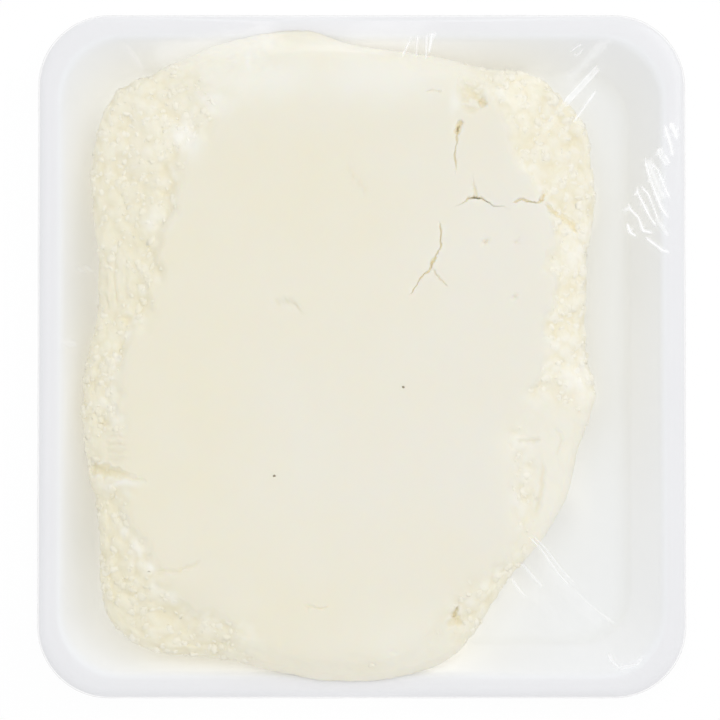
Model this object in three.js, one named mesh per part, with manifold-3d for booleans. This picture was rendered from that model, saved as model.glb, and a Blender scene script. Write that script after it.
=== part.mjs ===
// A portion of fresh cream cheese in a shallow foam tray, overwrapped in clear stretch film.
// Millimetres, +Z up. Seen from above, +X is the tray's right and +Y the far end.
// The origin is the middle of the pack's underside.
import * as THREE from "three";
import { mergeVertices } from "three/addons/utils/BufferGeometryUtils.js";
import Module from "manifold-3d";

const wasm = await Module();
wasm.setup();

// Driving dimensions
const TRAY_WIDTH = 134;
const TRAY_LENGTH = 141.4;
const TRAY_HEIGHT = 16;
const TRAY_CORNER = 14.8;
const FOAM = 4;
const CHEESE_THICKNESS = 17.8;
const FILM = 0.4;
const GAP = 0.3;

// Heights that follow from them
const LIFT = FILM + GAP;
const RIM_Z = LIFT + TRAY_HEIGHT;
const FLOOR_Z = LIFT + FOAM;
const CHEESE_BASE_Z = FLOOR_Z + GAP;
const CHEESE_TOP_Z = CHEESE_BASE_Z + CHEESE_THICKNESS;

// How finely each piece is divided
const CORNER_STEPS = 7;
const SIDE_STEPS = 11;
const CHEESE_STATIONS = 184;
const SIDE_SHARES = [0, 0.25, 0.5, 0.72, 0.9];
const BAND_RINGS = 8;
const TOP_SHARES = [1, 0.93, 0.7, 0.4];
const OUTLINE_SAMPLES = 720;

// The tray's section: inset from the rim's outer edge and height above the tray's own base
const CORNER_EASE = 0.35;
const TRAY_OUTSIDE = [
  [10, 0],
  [9, 0.5],
  [8.4, 1.6],
  [2.6, 12.6],
  [0.5, 12.9],
  [0, 13.5],
  [0, 15.2],
  [0.3, 15.75],
  [0.9, TRAY_HEIGHT],
  [3.6, TRAY_HEIGHT],
];
const TRAY_INSIDE = [
  [4.6, 15.7],
  [5.3, 15],
  [10.2, 6.2],
  [11.2, 4.9],
  [12.8, 4.15],
  [15, FOAM],
];

// How far in from the rim the cheese stays, for each height above the tray's own base
const ROOM_IN_TRAY = [
  [FOAM, 15.5],
  [4.6, 12.9],
  [5.6, 11.6],
  [6.6, 10.9],
  [15.1, 6],
  [15.9, 5.5],
  [TRAY_HEIGHT + 0.4, 4.2],
  [TRAY_HEIGHT + 0.8, 2.4],
];

// The film's two faces from the rim down to the opening where its ends meet under the base
const FILM_OPENING = 44;
const FILM_OVER_CHEESE = 0.4;
const FILM_PAST_CREASE = 1;
const FILM_INSIDE = [
  [1.2, RIM_Z + GAP],
  [-GAP, RIM_Z - 0.6],
  [-GAP, LIFT + 13.2],
  [8, LIFT + 0.9],
  [9.6, FILM],
  [FILM_OPENING, FILM],
];
const FILM_OUTSIDE = [
  [0.6, RIM_Z + GAP + FILM],
  [-GAP - FILM, RIM_Z - 0.4],
  [-GAP - FILM, LIFT + 13],
  [7.6, LIFT + 0.6],
  [9.2, 0],
  [FILM_OPENING, 0],
];

// The slab seen from above: its crumbly outer edge, and the edge of its pressed flat top
const CHEESE_EDGE = [
  [-13, 68], [-2, 64.5], [12, 62.5], [24.5, 60], [36, 58.5], [42.5, 53], [47, 47], [48, 39.5],
  [49, 31], [47.5, 23], [47, 11.5], [47.5, -1], [49, -7.5], [47.5, -12.5], [44.5, -20.5],
  [42.5, -29], [38, -37], [30.5, -47], [26, -54], [18.5, -62.5], [8, -66.5], [-4.5, -67.5],
  [-15, -66], [-28.5, -63], [-44, -61.5], [-52, -55], [-54.5, -46.5], [-54.5, -36],
  [-56.5, -25], [-58.5, -11.5], [-57, 1], [-55, 9.5], [-55, 23], [-56.5, 33.5], [-55.5, 44.5],
  [-52, 54.5], [-42, 59.5], [-28.5, 65],
];
const PRESSED_EDGE = [
  [-13, 61.5], [4, 60], [17.5, 57], [28.5, 53], [33, 40.5], [36.5, 25], [39, 11.5], [38, -1],
  [33, -14.5], [30, -25], [30.5, -36], [26.5, -45], [18.5, -51.5], [8, -61.5], [-4.5, -63],
  [-19, -60], [-33.5, -52], [-44, -45], [-47, -30], [-49.5, -11.5], [-45.5, 6.5], [-40, 24],
  [-37, 39.5], [-28.5, 52], [-21.5, 57],
];

// Stretches of the edge that are pressed smooth, as a middle direction and a half width in degrees
const SMOOTH_EDGES = [
  [88, 22],
  [268, 22],
];

// Cracks in the flat top, each with its path, its width at the surface and its depth
const CRACKS = [
  { path: [[20.5, 48.5], [20, 46.5], [19.5, 44.5], [19, 42], [19.5, 38]], width: 1, depth: 4 },
  { path: [[23.5, 38], [23.5, 35], [24, 33], [22, 32.5], [19.5, 31]], width: 0.8, depth: 3 },
  { path: [[24, 33.2], [25, 32.5], [27.5, 31], [30.5, 30.5]], width: 0.7, depth: 2.5 },
  { path: [[31, 32], [33, 32.6], [36, 32], [38, 33.7]], width: 0.9, depth: 3 },
  { path: [[37.5, 33], [37.5, 31.5], [40, 29.5], [43.5, 28], [45, 25]], width: 0.9, depth: 3 },
  { path: [[16, 27.5], [16.5, 25], [16.5, 22.5], [15.3, 20.5], [14, 17.5]], width: 0.8, depth: 3.5 },
  { path: [[15, 19.5], [14, 17.5], [12.5, 16], [11, 14], [9.8, 12]], width: 0.7, depth: 3 },
  { path: [[14.4, 17.4], [16, 16], [17.8, 13.8]], width: 0.5, depth: 1.5 },
  { path: [[-55.5, -23], [-52, -23.4], [-48, -24.5], [-45, -26.2]], width: 1.8, depth: 4 },
  { path: [[-42, -44.5], [-38.5, -44.7], [-36, -44], [-33, -42.3]], width: 0.9, depth: 1.5 },
];
const CRACK_RISE = 1.5;
const CRACK_END = 0.25;

// Hollows where curds have broken away: middle, half sizes along X, Y and Z
const HOLLOWS = [
  { at: [23.4, 53], size: [3, 2.4, 2.6] },
  { at: [20.8, 50.2], size: [1.4, 2, 2.4] },
  { at: [37.8, 33.4], size: [1, 1, 1.6] },
  { at: [-48.5, 7.5], size: [1.2, 0.8, 1.6] },
  { at: [19.5, -54.5], size: [0.9, 1.4, 1.8] },
];

// The slab's section: how far its foot is drawn in, its shoulder lies under the film and rounds off
const FOOT_INSET = 2.6;
const SHOULDER_DROP = 1.9;
const SHOULDER_INSET = 0.5;
const SHOULDER_ROUND = 1.1;
const SIDE_BULGE = 0.3;
const FOOT_SHARE = 0.6;

// How uneven the crumbly edge is
const CURD = 5.6;
const CURD_DEPTH = 2.4;
const SIDE_RELIEF = 1.6;
const BAND_DROP = 0.25;
const WAVE_HEIGHT = 0.15;

// Blends evenly from 0 at low to 1 at high.
function smooth(value, low, high) {
  const t = Math.min(Math.max((value - low) / (high - low), 0), 1);
  return t * t * (3 - 2 * t);
}

// Reads y at x from a list of [x, y] pairs in rising x.
function interpolate(pairs, x) {
  const after = pairs.findIndex((pair) => pair[0] > x);
  if (after === 0) return pairs[0][1];
  if (after < 0) return pairs[pairs.length - 1][1];
  const [x0, y0] = pairs[after - 1];
  const [x1, y1] = pairs[after];
  return y0 + ((y1 - y0) * (x - x0)) / (x1 - x0);
}

// Turns an outline round the origin into its radius as a function of direction.
function polarOutline(points) {
  const corners = points.map(([x, y]) => new THREE.Vector3(x, y, 0));
  const curve = new THREE.CatmullRomCurve3(corners, true, "centripetal");
  const turn = 2 * Math.PI;
  const table = curve
    .getSpacedPoints(OUTLINE_SAMPLES)
    .slice(1)
    .map((p) => [(Math.atan2(p.y, p.x) + turn) % turn, Math.hypot(p.x, p.y)])
    .sort((a, b) => a[0] - b[0]);
  const last = table[table.length - 1];
  const wrapped = [[last[0] - turn, last[1]], ...table, [table[0][0] + turn, table[0][1]]];
  return (angle) => interpolate(wrapped, ((angle % turn) + turn) % turn);
}

// Distance from a point to a rounded rectangle set in from the tray's rim, below 0 inside it.
function distanceToTrayRing(x, y, inset) {
  const radius = TRAY_CORNER - CORNER_EASE * inset;
  const overX = Math.abs(x) - (TRAY_WIDTH / 2 - inset - radius);
  const overY = Math.abs(y) - (TRAY_LENGTH / 2 - inset - radius);
  const outside = Math.hypot(Math.max(overX, 0), Math.max(overY, 0));
  return outside + Math.min(Math.max(overX, overY), 0) - radius;
}

// Radius of such a ring in one direction, by halving the search span.
function trayRadius(angle, inset) {
  let low = 0;
  let high = TRAY_WIDTH + TRAY_LENGTH;
  for (let step = 0; step < 40; step++) {
    const middle = (low + high) / 2;
    const there = distanceToTrayRing(middle * Math.cos(angle), middle * Math.sin(angle), inset);
    if (there > 0) high = middle;
    else low = middle;
  }
  return low;
}

// One level of the tray or the film: a rounded rectangle, anticlockwise from above.
function trayRing(inset, z) {
  const radius = TRAY_CORNER - CORNER_EASE * inset;
  const centreX = TRAY_WIDTH / 2 - inset - radius;
  const centreY = TRAY_LENGTH / 2 - inset - radius;
  const corners = [[1, 1], [-1, 1], [-1, -1], [1, -1]];
  const arcs = corners.map(([signX, signY], quadrant) =>
    Array.from({ length: CORNER_STEPS + 1 }, (_, step) => {
      const angle = ((quadrant + step / CORNER_STEPS) * Math.PI) / 2;
      const x = signX * centreX + radius * Math.cos(angle);
      const y = signY * centreY + radius * Math.sin(angle);
      return new THREE.Vector3(x, y, z);
    }),
  );
  return arcs.flatMap((arc, quadrant) => {
    const next = arcs[(quadrant + 1) % arcs.length][0];
    const end = arc[arc.length - 1];
    const side = [];
    for (let step = 1; step < SIDE_STEPS; step++) {
      side.push(end.clone().lerp(next, step / SIDE_STEPS));
    }
    return [...arc, ...side];
  });
}

// Skins a stack of rings, closed by a point at each end, into one outward facing surface.
function loft(start, rings, end) {
  const count = rings[0].length;
  const vertices = [start, ...rings.flat(), end].flatMap((p) => [p.x, p.y, p.z]);
  const faces = [];
  const at = (ring, station) => 1 + ring * count + (station % count);
  const finish = 1 + rings.length * count;
  for (let station = 0; station < count; station++) {
    faces.push([0, at(0, station + 1), at(0, station)]);
    faces.push([finish, at(rings.length - 1, station), at(rings.length - 1, station + 1)]);
    for (let ring = 0; ring + 1 < rings.length; ring++) {
      const [a, b] = [at(ring, station), at(ring, station + 1)];
      const [c, d] = [at(ring + 1, station), at(ring + 1, station + 1)];
      faces.push([a, b, d], [a, d, c]);
    }
  }
  const geometry = new THREE.BufferGeometry();
  geometry.setAttribute("position", new THREE.Float32BufferAttribute(vertices, 3));
  geometry.setIndex(faces.flat());
  return geometry;
}

// Makes a solid for cutting and joining out of a closed geometry.
function solidOf(geometry) {
  const bare = geometry.clone();
  bare.deleteAttribute("normal");
  bare.deleteAttribute("uv");
  const merged = mergeVertices(bare, 1e-4);
  return new wasm.Manifold(
    new wasm.Mesh({
      numProp: 3,
      vertProperties: new Float32Array(merged.attributes.position.array),
      triVerts: new Uint32Array(merged.index.array),
    }),
  );
}

// Turns such a solid back into a geometry.
function geometryOf(solid) {
  const mesh = solid.getMesh();
  const geometry = new THREE.BufferGeometry();
  geometry.setAttribute("position", new THREE.Float32BufferAttribute(mesh.vertProperties, 3));
  geometry.setIndex(Array.from(mesh.triVerts));
  return geometry;
}

// A number between 0 and 1 that is always the same for the same three whole numbers.
function scatter(i, j, k) {
  const wave = Math.sin(i * 127.1 + j * 311.7 + k * 74.7) * 43758.5453;
  return wave - Math.floor(wave);
}

// Depth between curds: 0 on the crown of the nearest curd, rising to about 1 in the gaps.
function betweenCurds(x, y, z) {
  const cell = [x, y, z].map((value) => Math.floor(value / CURD));
  let nearest = Infinity;
  for (let i = cell[0] - 1; i <= cell[0] + 1; i++) {
    for (let j = cell[1] - 1; j <= cell[1] + 1; j++) {
      for (let k = cell[2] - 1; k <= cell[2] + 1; k++) {
        const dx = (i + scatter(i, j, k)) * CURD - x;
        const dy = (j + scatter(j, k, i)) * CURD - y;
        const dz = (k + scatter(k, i, j)) * CURD - z;
        nearest = Math.min(nearest, dx * dx + dy * dy + dz * dz);
      }
    }
  }
  return Math.min(nearest / (CURD * CURD), 1);
}

const cheeseRadius = polarOutline(CHEESE_EDGE);
const pressedRadius = polarOutline(PRESSED_EDGE);

// Height of the pressed flat top, which waves a little.
function pressedHeight(x, y) {
  return CHEESE_TOP_Z + WAVE_HEIGHT * Math.sin(x / 17 + 0.6) * Math.cos(y / 23 - 0.4);
}

// Height of the stretched film's underside: flat on the cheese, then straight down to the rim.
function tentHeight(angle, radius) {
  const crease = pressedRadius(angle);
  const rim = trayRadius(angle, 0);
  const reach = Math.min(radius, crease);
  const flat = pressedHeight(reach * Math.cos(angle), reach * Math.sin(angle));
  if (radius <= crease) return flat;
  return flat + ((RIM_Z - flat) * (radius - crease)) / (rim - crease);
}

// How crumbly the edge is in one direction: 1 on rough stretches, less on the smooth ones.
function crumbliness(angle) {
  const degrees = THREE.MathUtils.radToDeg(angle);
  return SMOOTH_EDGES.reduce((least, [middle, half]) => {
    const away = Math.abs(((degrees - middle + 540) % 360) - 180);
    return Math.min(least, 0.2 + 0.8 * smooth(away, half - 8, half + 8));
  }, 1);
}

// Largest radius that clears the tray's wall at a height, counted from the pack's underside.
function roomInTray(angle, z) {
  return trayRadius(angle, interpolate(ROOM_IN_TRAY, z - LIFT));
}

// One point under the slab, from 0 in the middle to 1 at the foot of its side.
function footPoint(angle, share) {
  const foot = sidePoint(angle, 0);
  return new THREE.Vector3(foot.x * share, foot.y * share, CHEESE_BASE_Z);
}

// One point on the slab's side, from 0 at the foot to 1 at the shoulder.
function sidePoint(angle, share) {
  const edge = cheeseRadius(angle);
  const shoulder = tentHeight(angle, edge) - SHOULDER_DROP;
  const z = CHEESE_BASE_Z + (shoulder - CHEESE_BASE_Z) * share;
  const undercut = FOOT_INSET * (1 - share) ** 2;
  const rough = SIDE_RELIEF * crumbliness(angle) * share;
  const bulged = edge - undercut + SIDE_BULGE;
  const x = bulged * Math.cos(angle);
  const y = bulged * Math.sin(angle);
  const radius = Math.min(bulged - rough * betweenCurds(x, y, z), roomInTray(angle, z));
  return new THREE.Vector3(radius * Math.cos(angle), radius * Math.sin(angle), z);
}

// One point on the crumbly band, from 0 at the pressed flat top to 1 at the outer edge.
function bandPoint(angle, share) {
  const inner = pressedRadius(angle);
  const outer = cheeseRadius(angle) - SHOULDER_INSET;
  const radius = inner + (outer - inner) * share;
  const x = radius * Math.cos(angle);
  const y = radius * Math.sin(angle);
  const tent = tentHeight(angle, radius);
  const rough = crumbliness(angle) * smooth(share, 0, 0.25);
  const sunk = rough * (BAND_DROP + CURD_DEPTH * betweenCurds(x, y, tent));
  const rounded = SHOULDER_ROUND * smooth(share, 0.7, 1.05);
  return new THREE.Vector3(x, y, tent - sunk - rounded);
}

// One point on the flat top, from 0 in the middle to 1 where the crumbly band starts.
function topPoint(angle, share) {
  const radius = pressedRadius(angle) * share;
  const x = radius * Math.cos(angle);
  const y = radius * Math.sin(angle);
  return new THREE.Vector3(x, y, pressedHeight(x, y));
}

// A ring of points round the slab.
function cheeseRing(pointAt, share) {
  return Array.from({ length: CHEESE_STATIONS }, (_, station) =>
    pointAt((station / CHEESE_STATIONS) * 2 * Math.PI, share),
  );
}

// A wedge that opens a crack when it is cut away: wide above the surface, sharp at its foot.
function crackWedge({ path, width, depth }) {
  const spine = path.map(([x, y]) => new THREE.Vector2(x, y));
  const vertices = [];
  spine.forEach((point, i) => {
    const before = spine[Math.max(i - 1, 0)];
    const after = spine[Math.min(i + 1, spine.length - 1)];
    const along = after.clone().sub(before).normalize();
    const isEnd = i === 0 || i === spine.length - 1;
    const half = ((isEnd ? CRACK_END : 1) * width * (depth + CRACK_RISE)) / depth / 2;
    const angle = Math.atan2(point.y, point.x);
    const surface = tentHeight(angle, point.length());
    const foot = surface - (isEnd ? CRACK_END : 1) * depth;
    const [sideX, sideY] = [-along.y * half, along.x * half];
    vertices.push(point.x + sideX, point.y + sideY, surface + CRACK_RISE);
    vertices.push(point.x - sideX, point.y - sideY, surface + CRACK_RISE);
    vertices.push(point.x, point.y, foot);
  });
  const last = 3 * (spine.length - 1);
  const faces = [[0, 2, 1], [last, last + 1, last + 2]];
  for (let i = 0; i < last; i += 3) {
    const [left, right, foot] = [i, i + 1, i + 2];
    faces.push([left, right, right + 3], [left, right + 3, left + 3]);
    faces.push([left, left + 3, foot + 3], [left, foot + 3, foot]);
    faces.push([right, foot, foot + 3], [right, foot + 3, right + 3]);
  }
  const geometry = new THREE.BufferGeometry();
  geometry.setAttribute("position", new THREE.Float32BufferAttribute(vertices, 3));
  geometry.setIndex(faces.flat());
  return geometry;
}

// A rounded hollow in the surface.
function hollowBlob({ at: [x, y], size }) {
  const surface = tentHeight(Math.atan2(y, x), Math.hypot(x, y));
  return new THREE.IcosahedronGeometry(1, 1).scale(...size).translate(x, y, surface);
}

// The foam tray: base, sloping walls and a flat rolled rim.
function makeTray() {
  const rings = [...TRAY_OUTSIDE, ...TRAY_INSIDE].map(([inset, z]) => trayRing(inset, LIFT + z));
  const geometry = loft(new THREE.Vector3(0, 0, LIFT), rings, new THREE.Vector3(0, 0, FLOOR_Z));
  const material = new THREE.MeshStandardMaterial({ color: 0xf1f1f3, roughness: 0.6, metalness: 0 });
  const mesh = new THREE.Mesh(geometry, material);
  mesh.name = "foam_tray";
  return mesh;
}

// The slab of cheese: flat underneath, crumbly round the edge, pressed flat on top, and cracked.
function makeCheese() {
  const bandShares = Array.from({ length: BAND_RINGS }, (_, ring) => 1 - ring / BAND_RINGS);
  const rings = [
    cheeseRing(footPoint, FOOT_SHARE),
    ...SIDE_SHARES.map((share) => cheeseRing(sidePoint, share)),
    ...bandShares.map((share) => cheeseRing(bandPoint, share)),
    ...TOP_SHARES.map((share) => cheeseRing(topPoint, share)),
  ];
  const under = new THREE.Vector3(0, 0, CHEESE_BASE_Z);
  const crown = new THREE.Vector3(0, 0, pressedHeight(0, 0));
  const cuts = [...CRACKS.map(crackWedge), ...HOLLOWS.map(hollowBlob)];
  const solid = cuts.reduce(
    (rest, cut) => rest.subtract(solidOf(cut)),
    solidOf(loft(under, rings, crown)),
  );
  const material = new THREE.MeshStandardMaterial({ color: 0xf3ecd7, roughness: 0.55, metalness: 0 });
  const mesh = new THREE.Mesh(geometryOf(solid), material);
  mesh.name = "cheese";
  return mesh;
}

// The stretch film: over the cheese, down to the rim, round the tray and in under its base.
function makeFilm() {
  const directions = trayRing(0, 0).map(({ x, y }) => Math.atan2(y, x));
  const overCheese = (share, lift) =>
    directions.map((angle) => {
      const radius = (pressedRadius(angle) + FILM_PAST_CREASE) * share;
      const x = radius * Math.cos(angle);
      const y = radius * Math.sin(angle);
      return new THREE.Vector3(x, y, pressedHeight(x, y) + lift);
    });
  const sheet = (lift) => [0.25, 0.5, 0.75, 1].map((share) => overCheese(share, lift));
  const skirt = (section) => section.map(([inset, z]) => trayRing(inset, z));
  const inner = [...sheet(FILM_OVER_CHEESE), ...skirt(FILM_INSIDE)];
  const outer = [...sheet(FILM_OVER_CHEESE + FILM), ...skirt(FILM_OUTSIDE)];
  const middle = pressedHeight(0, 0) + FILM_OVER_CHEESE;
  const geometry = loft(
    new THREE.Vector3(0, 0, middle),
    [...inner, ...outer.reverse()],
    new THREE.Vector3(0, 0, middle + FILM),
  );
  const material = new THREE.MeshStandardMaterial({
    color: 0xffffff,
    roughness: 0.1,
    metalness: 0,
    transparent: true,
    opacity: 0.2,
  });
  const mesh = new THREE.Mesh(geometry, material);
  mesh.name = "film";
  return mesh;
}

const pack = new THREE.Group();
pack.add(makeTray(), makeCheese(), makeFilm());

export default pack;
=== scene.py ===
"""A portion of fresh cream cheese in a shallow white foam tray, overwrapped in clear stretch film.

Sizes are millimetres and become metres as a mesh is made. Seen from above, +X is the tray's right
and +Y its far end. The origin is the middle of the pack's underside.
"""

import itertools
import logging
import math
from collections.abc import Callable
from dataclasses import dataclass, field
from enum import Enum

import bmesh
import bpy
import numpy as np
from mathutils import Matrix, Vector


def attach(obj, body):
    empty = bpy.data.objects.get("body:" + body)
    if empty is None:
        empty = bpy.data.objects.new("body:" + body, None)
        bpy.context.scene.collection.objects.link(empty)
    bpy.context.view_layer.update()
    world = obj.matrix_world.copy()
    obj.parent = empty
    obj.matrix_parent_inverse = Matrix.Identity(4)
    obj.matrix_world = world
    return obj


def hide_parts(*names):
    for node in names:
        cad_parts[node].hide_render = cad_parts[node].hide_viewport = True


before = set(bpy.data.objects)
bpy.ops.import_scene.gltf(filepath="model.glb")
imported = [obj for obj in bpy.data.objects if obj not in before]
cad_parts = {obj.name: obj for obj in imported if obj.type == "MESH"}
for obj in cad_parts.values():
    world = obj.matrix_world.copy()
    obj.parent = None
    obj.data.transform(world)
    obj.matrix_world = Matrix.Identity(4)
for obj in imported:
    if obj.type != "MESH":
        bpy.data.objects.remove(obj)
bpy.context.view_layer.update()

LOG = logging.getLogger("pack")
MM = 0.001
TURN = 2 * math.pi

Points = np.ndarray
Field = np.ndarray


class Node(Enum):
    """The solids of the frame that the pieces stand for."""

    TRAY = "foam_tray"
    CHEESE = "cheese"
    FILM = "film"


class Slot(Enum):
    """The record's material slots."""

    FOAM = "foam"
    CHEESE = "cheese"
    FILM = "film"


def smooth(values: Field, low: float, high: float) -> Field:
    """Blends evenly from 0 at low to 1 at high.

    Args:
        values: The numbers to blend by.
        low: Where the blend is 0.
        high: Where the blend is 1.

    Returns:
        A number from 0 to 1 for each value.
    """
    t = np.clip((values - low) / (high - low), 0.0, 1.0)
    return t * t * (3 - 2 * t)


def scatter(i: Field, j: Field, k: Field) -> Field:
    """Gives a number between 0 and 1 that is always the same for the same three whole numbers.

    Args:
        i: First whole number.
        j: Second whole number.
        k: Third whole number.

    Returns:
        The scattered numbers.
    """
    wave = np.sin(i * 127.1 + j * 311.7 + k * 74.7) * 43758.5453
    return wave - np.floor(wave)


def ripple(points: Points, size: float, seed: float = 0.0) -> Field:
    """Gives smooth random waves between -1 and 1.

    Args:
        points: Places to read, one row each.
        size: Width of a wave.
        seed: Shifts the pattern.

    Returns:
        One height for each place.
    """
    spot = points / size + seed
    cell = np.floor(spot)
    part = spot - cell
    part = part * part * (3 - 2 * part)
    total = np.zeros(len(points))
    for corner in itertools.product((0, 1), repeat=3):
        share = np.prod(np.where(corner, part, 1 - part), axis=1)
        total += share * scatter(*(cell + corner).T)
    return 2 * total - 1


def curds(points: Points, size: float, seed: float = 0.0, spread: float = 0.5) -> tuple[Field, Field]:
    """Measures the depth between curds packed side by side, some higher than others.

    Args:
        points: Places to read, one row each.
        size: Distance from curd to curd.
        seed: Shifts the pattern.
        spread: How much lower the lowest curds lie than the highest.

    Returns:
        The depth, 0 on the crown of a high curd and about 1 in the gaps, and a number from 0 to 1
        that is the nearest curd's own.
    """
    spot = points / size + seed
    cell = np.floor(spot)
    nearest = np.full(len(points), np.inf)
    own = np.zeros(len(points))
    for step in itertools.product((-1, 0, 1), repeat=3):
        i, j, k = (cell + step).T
        middle = cell + step + np.stack([scatter(i, j, k), scatter(j, k, i), scatter(k, i, j)], 1)
        height = scatter(k, j, i)
        gap = ((middle - spot) ** 2).sum(axis=1) + spread * height
        closer = gap < nearest
        nearest = np.where(closer, gap, nearest)
        own = np.where(closer, height, own)
    return np.minimum(nearest, 1.0), own


def along_path(points: Points, path: list[list[float]]) -> tuple[Field, Field]:
    """Measures places against a path drawn on the pack seen from above.

    Args:
        points: Places to measure, one row each.
        path: The path's corners.

    Returns:
        The distance to the path, and how far along it the nearest spot is, from 0 to 1.
    """
    corners = np.array(path, float)
    lengths = np.linalg.norm(np.diff(corners, axis=0), axis=1)
    starts = np.concatenate([[0.0], np.cumsum(lengths)])
    nearest = np.full(len(points), np.inf)
    share = np.zeros(len(points))
    for start, end, length, before in zip(corners, corners[1:], lengths, starts):
        along = (end - start) / length
        reach = np.clip((points[:, :2] - start) @ along, 0.0, length)
        gap = np.linalg.norm(points[:, :2] - start - reach[:, None] * along, axis=1)
        closer = gap < nearest
        nearest = np.where(closer, gap, nearest)
        share = np.where(closer, (before + reach) / starts[-1], share)
    return nearest, share


@dataclass
class Outline:
    """A closed outline round the origin, read as a radius in each direction."""

    corners: list[list[float]]
    samples: int = 24
    angles: Field = field(init=False)
    radii: Field = field(init=False)

    def __post_init__(self) -> None:
        """Rounds the corners with a centripetal spline and tabulates the radius."""
        p1 = np.array(self.corners, float)
        p0, p2, p3 = (np.roll(p1, step, axis=0) for step in (1, -1, -2))
        gaps = [np.sqrt(np.linalg.norm(b - a, axis=1))[:, None] for a, b in ((p0, p1), (p1, p2), (p2, p3))]
        before, here, after = gaps
        leave = ((p1 - p0) / before - (p2 - p0) / (before + here) + (p2 - p1) / here) * here
        reach = ((p2 - p1) / here - (p3 - p1) / (here + after) + (p3 - p2) / after) * here
        curve = []
        for t in np.arange(self.samples) / self.samples:
            curve.append(
                p1
                + leave * t
                + (3 * (p2 - p1) - 2 * leave - reach) * t**2
                + (2 * (p1 - p2) + leave + reach) * t**3
            )
        x, y = np.concatenate(curve).T
        angles = np.arctan2(y, x) % TURN
        order = np.argsort(angles)
        self.angles = angles[order]
        self.radii = np.hypot(x, y)[order]

    def radius(self, angle: Field) -> Field:
        """Reads the outline's radius in each direction."""
        return np.interp(angle % TURN, self.angles, self.radii, period=TURN)


class Skin:
    """Collects rings of points, and the faces between them, into one surface that faces outwards."""

    def __init__(self) -> None:
        """Starts with nothing."""
        self.points: list[Points] = []
        self.faces: list[tuple[int, ...]] = []
        self.count = 0
        self.last: Field | None = None

    def ring(self, points: Points) -> None:
        """Adds a ring, joined to the one before, which may have the same, twice or half its points.

        Args:
            points: The ring anticlockwise from above, or a single point that closes the surface.
        """
        here = np.arange(self.count, self.count + len(points))
        self.points.append(points)
        self.count += len(points)
        if self.last is not None:
            self._join(self.last, here)
        self.last = here

    def _join(self, low: Field, high: Field) -> None:
        """Makes the faces between two rings."""
        low_next, high_next = np.roll(low, -1), np.roll(high, -1)
        if len(low) == 1:
            faces = zip(itertools.repeat(low[0]), high_next, high)
        elif len(high) == 1:
            faces = zip(low, low_next, itertools.repeat(high[0]))
        elif len(low) == len(high):
            faces = zip(low, low_next, high_next, high)
        elif len(low) == 2 * len(high):
            faces = self._halved(low, high, high_next)
        else:
            faces = self._doubled(low, low_next, high)
        self.faces += [tuple(int(corner) for corner in face) for face in faces]

    @staticmethod
    def _halved(low: Field, high: Field, high_next: Field) -> list[tuple[int, ...]]:
        """Joins a ring to one with half as many points."""
        faces = []
        after = np.roll(low, -1)
        for i, (a, b) in enumerate(zip(high, high_next)):
            left, middle, right = low[2 * i], after[2 * i], after[2 * i + 1]
            faces += [(left, middle, a), (middle, b, a), (middle, right, b)]
        return faces

    @staticmethod
    def _doubled(low: Field, low_next: Field, high: Field) -> list[tuple[int, ...]]:
        """Joins a ring to one with twice as many points."""
        faces = []
        after = np.roll(high, -1)
        for i, (a, b) in enumerate(zip(low, low_next)):
            left, middle, right = high[2 * i], after[2 * i], after[2 * i + 1]
            faces += [(a, middle, left), (a, b, middle), (b, right, middle)]
        return faces

    def mesh(self, name: str) -> bpy.types.Mesh:
        """Makes the mesh, still in millimetres."""
        mesh = bpy.data.meshes.new(name)
        mesh.from_pydata(np.concatenate(self.points).tolist(), [], self.faces)
        return mesh


def places(mesh: bpy.types.Mesh) -> Points:
    """Reads a mesh's points, one row each."""
    points = np.empty(3 * len(mesh.vertices), np.float32)
    mesh.vertices.foreach_get("co", points)
    return points.reshape(-1, 3).astype(float)


def outward(mesh: bpy.types.Mesh) -> Points:
    """Reads the outward direction at each of a mesh's points."""
    normals = np.empty(3 * len(mesh.vertices), np.float32)
    mesh.vertex_normals.foreach_get("vector", normals)
    return normals.reshape(-1, 3).astype(float)


def reshape(mesh: bpy.types.Mesh, points: Points) -> None:
    """Moves a mesh's points."""
    mesh.vertices.foreach_set("co", points.astype(np.float32).ravel())
    mesh.update()


def paint(mesh: bpy.types.Mesh, name: str, values: Field) -> None:
    """Stores one number for each of a mesh's points, for the materials to read."""
    layer = mesh.attributes.new(name, "FLOAT", "POINT")
    layer.data.foreach_set("value", values.astype(np.float32))


def refine(mesh: bpy.types.Mesh, gap: Callable[[Points], Field], reaches: list[float]) -> None:
    """Halves the edges that lie near something, once for each reach.

    Args:
        mesh: The mesh to divide.
        gap: Gives how far each place is from what needs the finer mesh.
        reaches: How near an edge has to be, round by round.
    """
    work = bmesh.new()
    work.from_mesh(mesh)
    for reach in reaches:
        near = gap(np.array([vertex.co for vertex in work.verts])) < reach
        edges = [e for e in work.edges if near[e.verts[0].index] and near[e.verts[1].index]]
        bmesh.ops.subdivide_edges(work, edges=edges, cuts=1, use_grid_fill=True)
        work.verts.index_update()
    work.to_mesh(mesh)
    work.free()


def finish_piece(mesh: bpy.types.Mesh, material: bpy.types.Material) -> bpy.types.Object:
    """Turns a mesh in millimetres into a piece of the scene.

    Args:
        mesh: The finished mesh.
        material: What it is made of.

    Returns:
        The object, at the origin, unturned and unscaled.
    """
    reshape(mesh, places(mesh) * MM)
    mesh.shade_smooth()
    mesh.materials.clear()
    mesh.materials.append(material)
    piece = bpy.data.objects.new(mesh.name, mesh)
    bpy.context.scene.collection.objects.link(piece)
    return piece


def hand_over(piece: bpy.types.Object, node: Node) -> None:
    """Puts a piece into the frame in the place of a solid.

    Args:
        piece: The finished piece.
        node: The solid that it stands for.
    """
    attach(piece, "root")
    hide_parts(node.value)
    LOG.info("%s: %d faces for %s", piece.name, len(piece.data.polygons), node.value)


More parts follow.
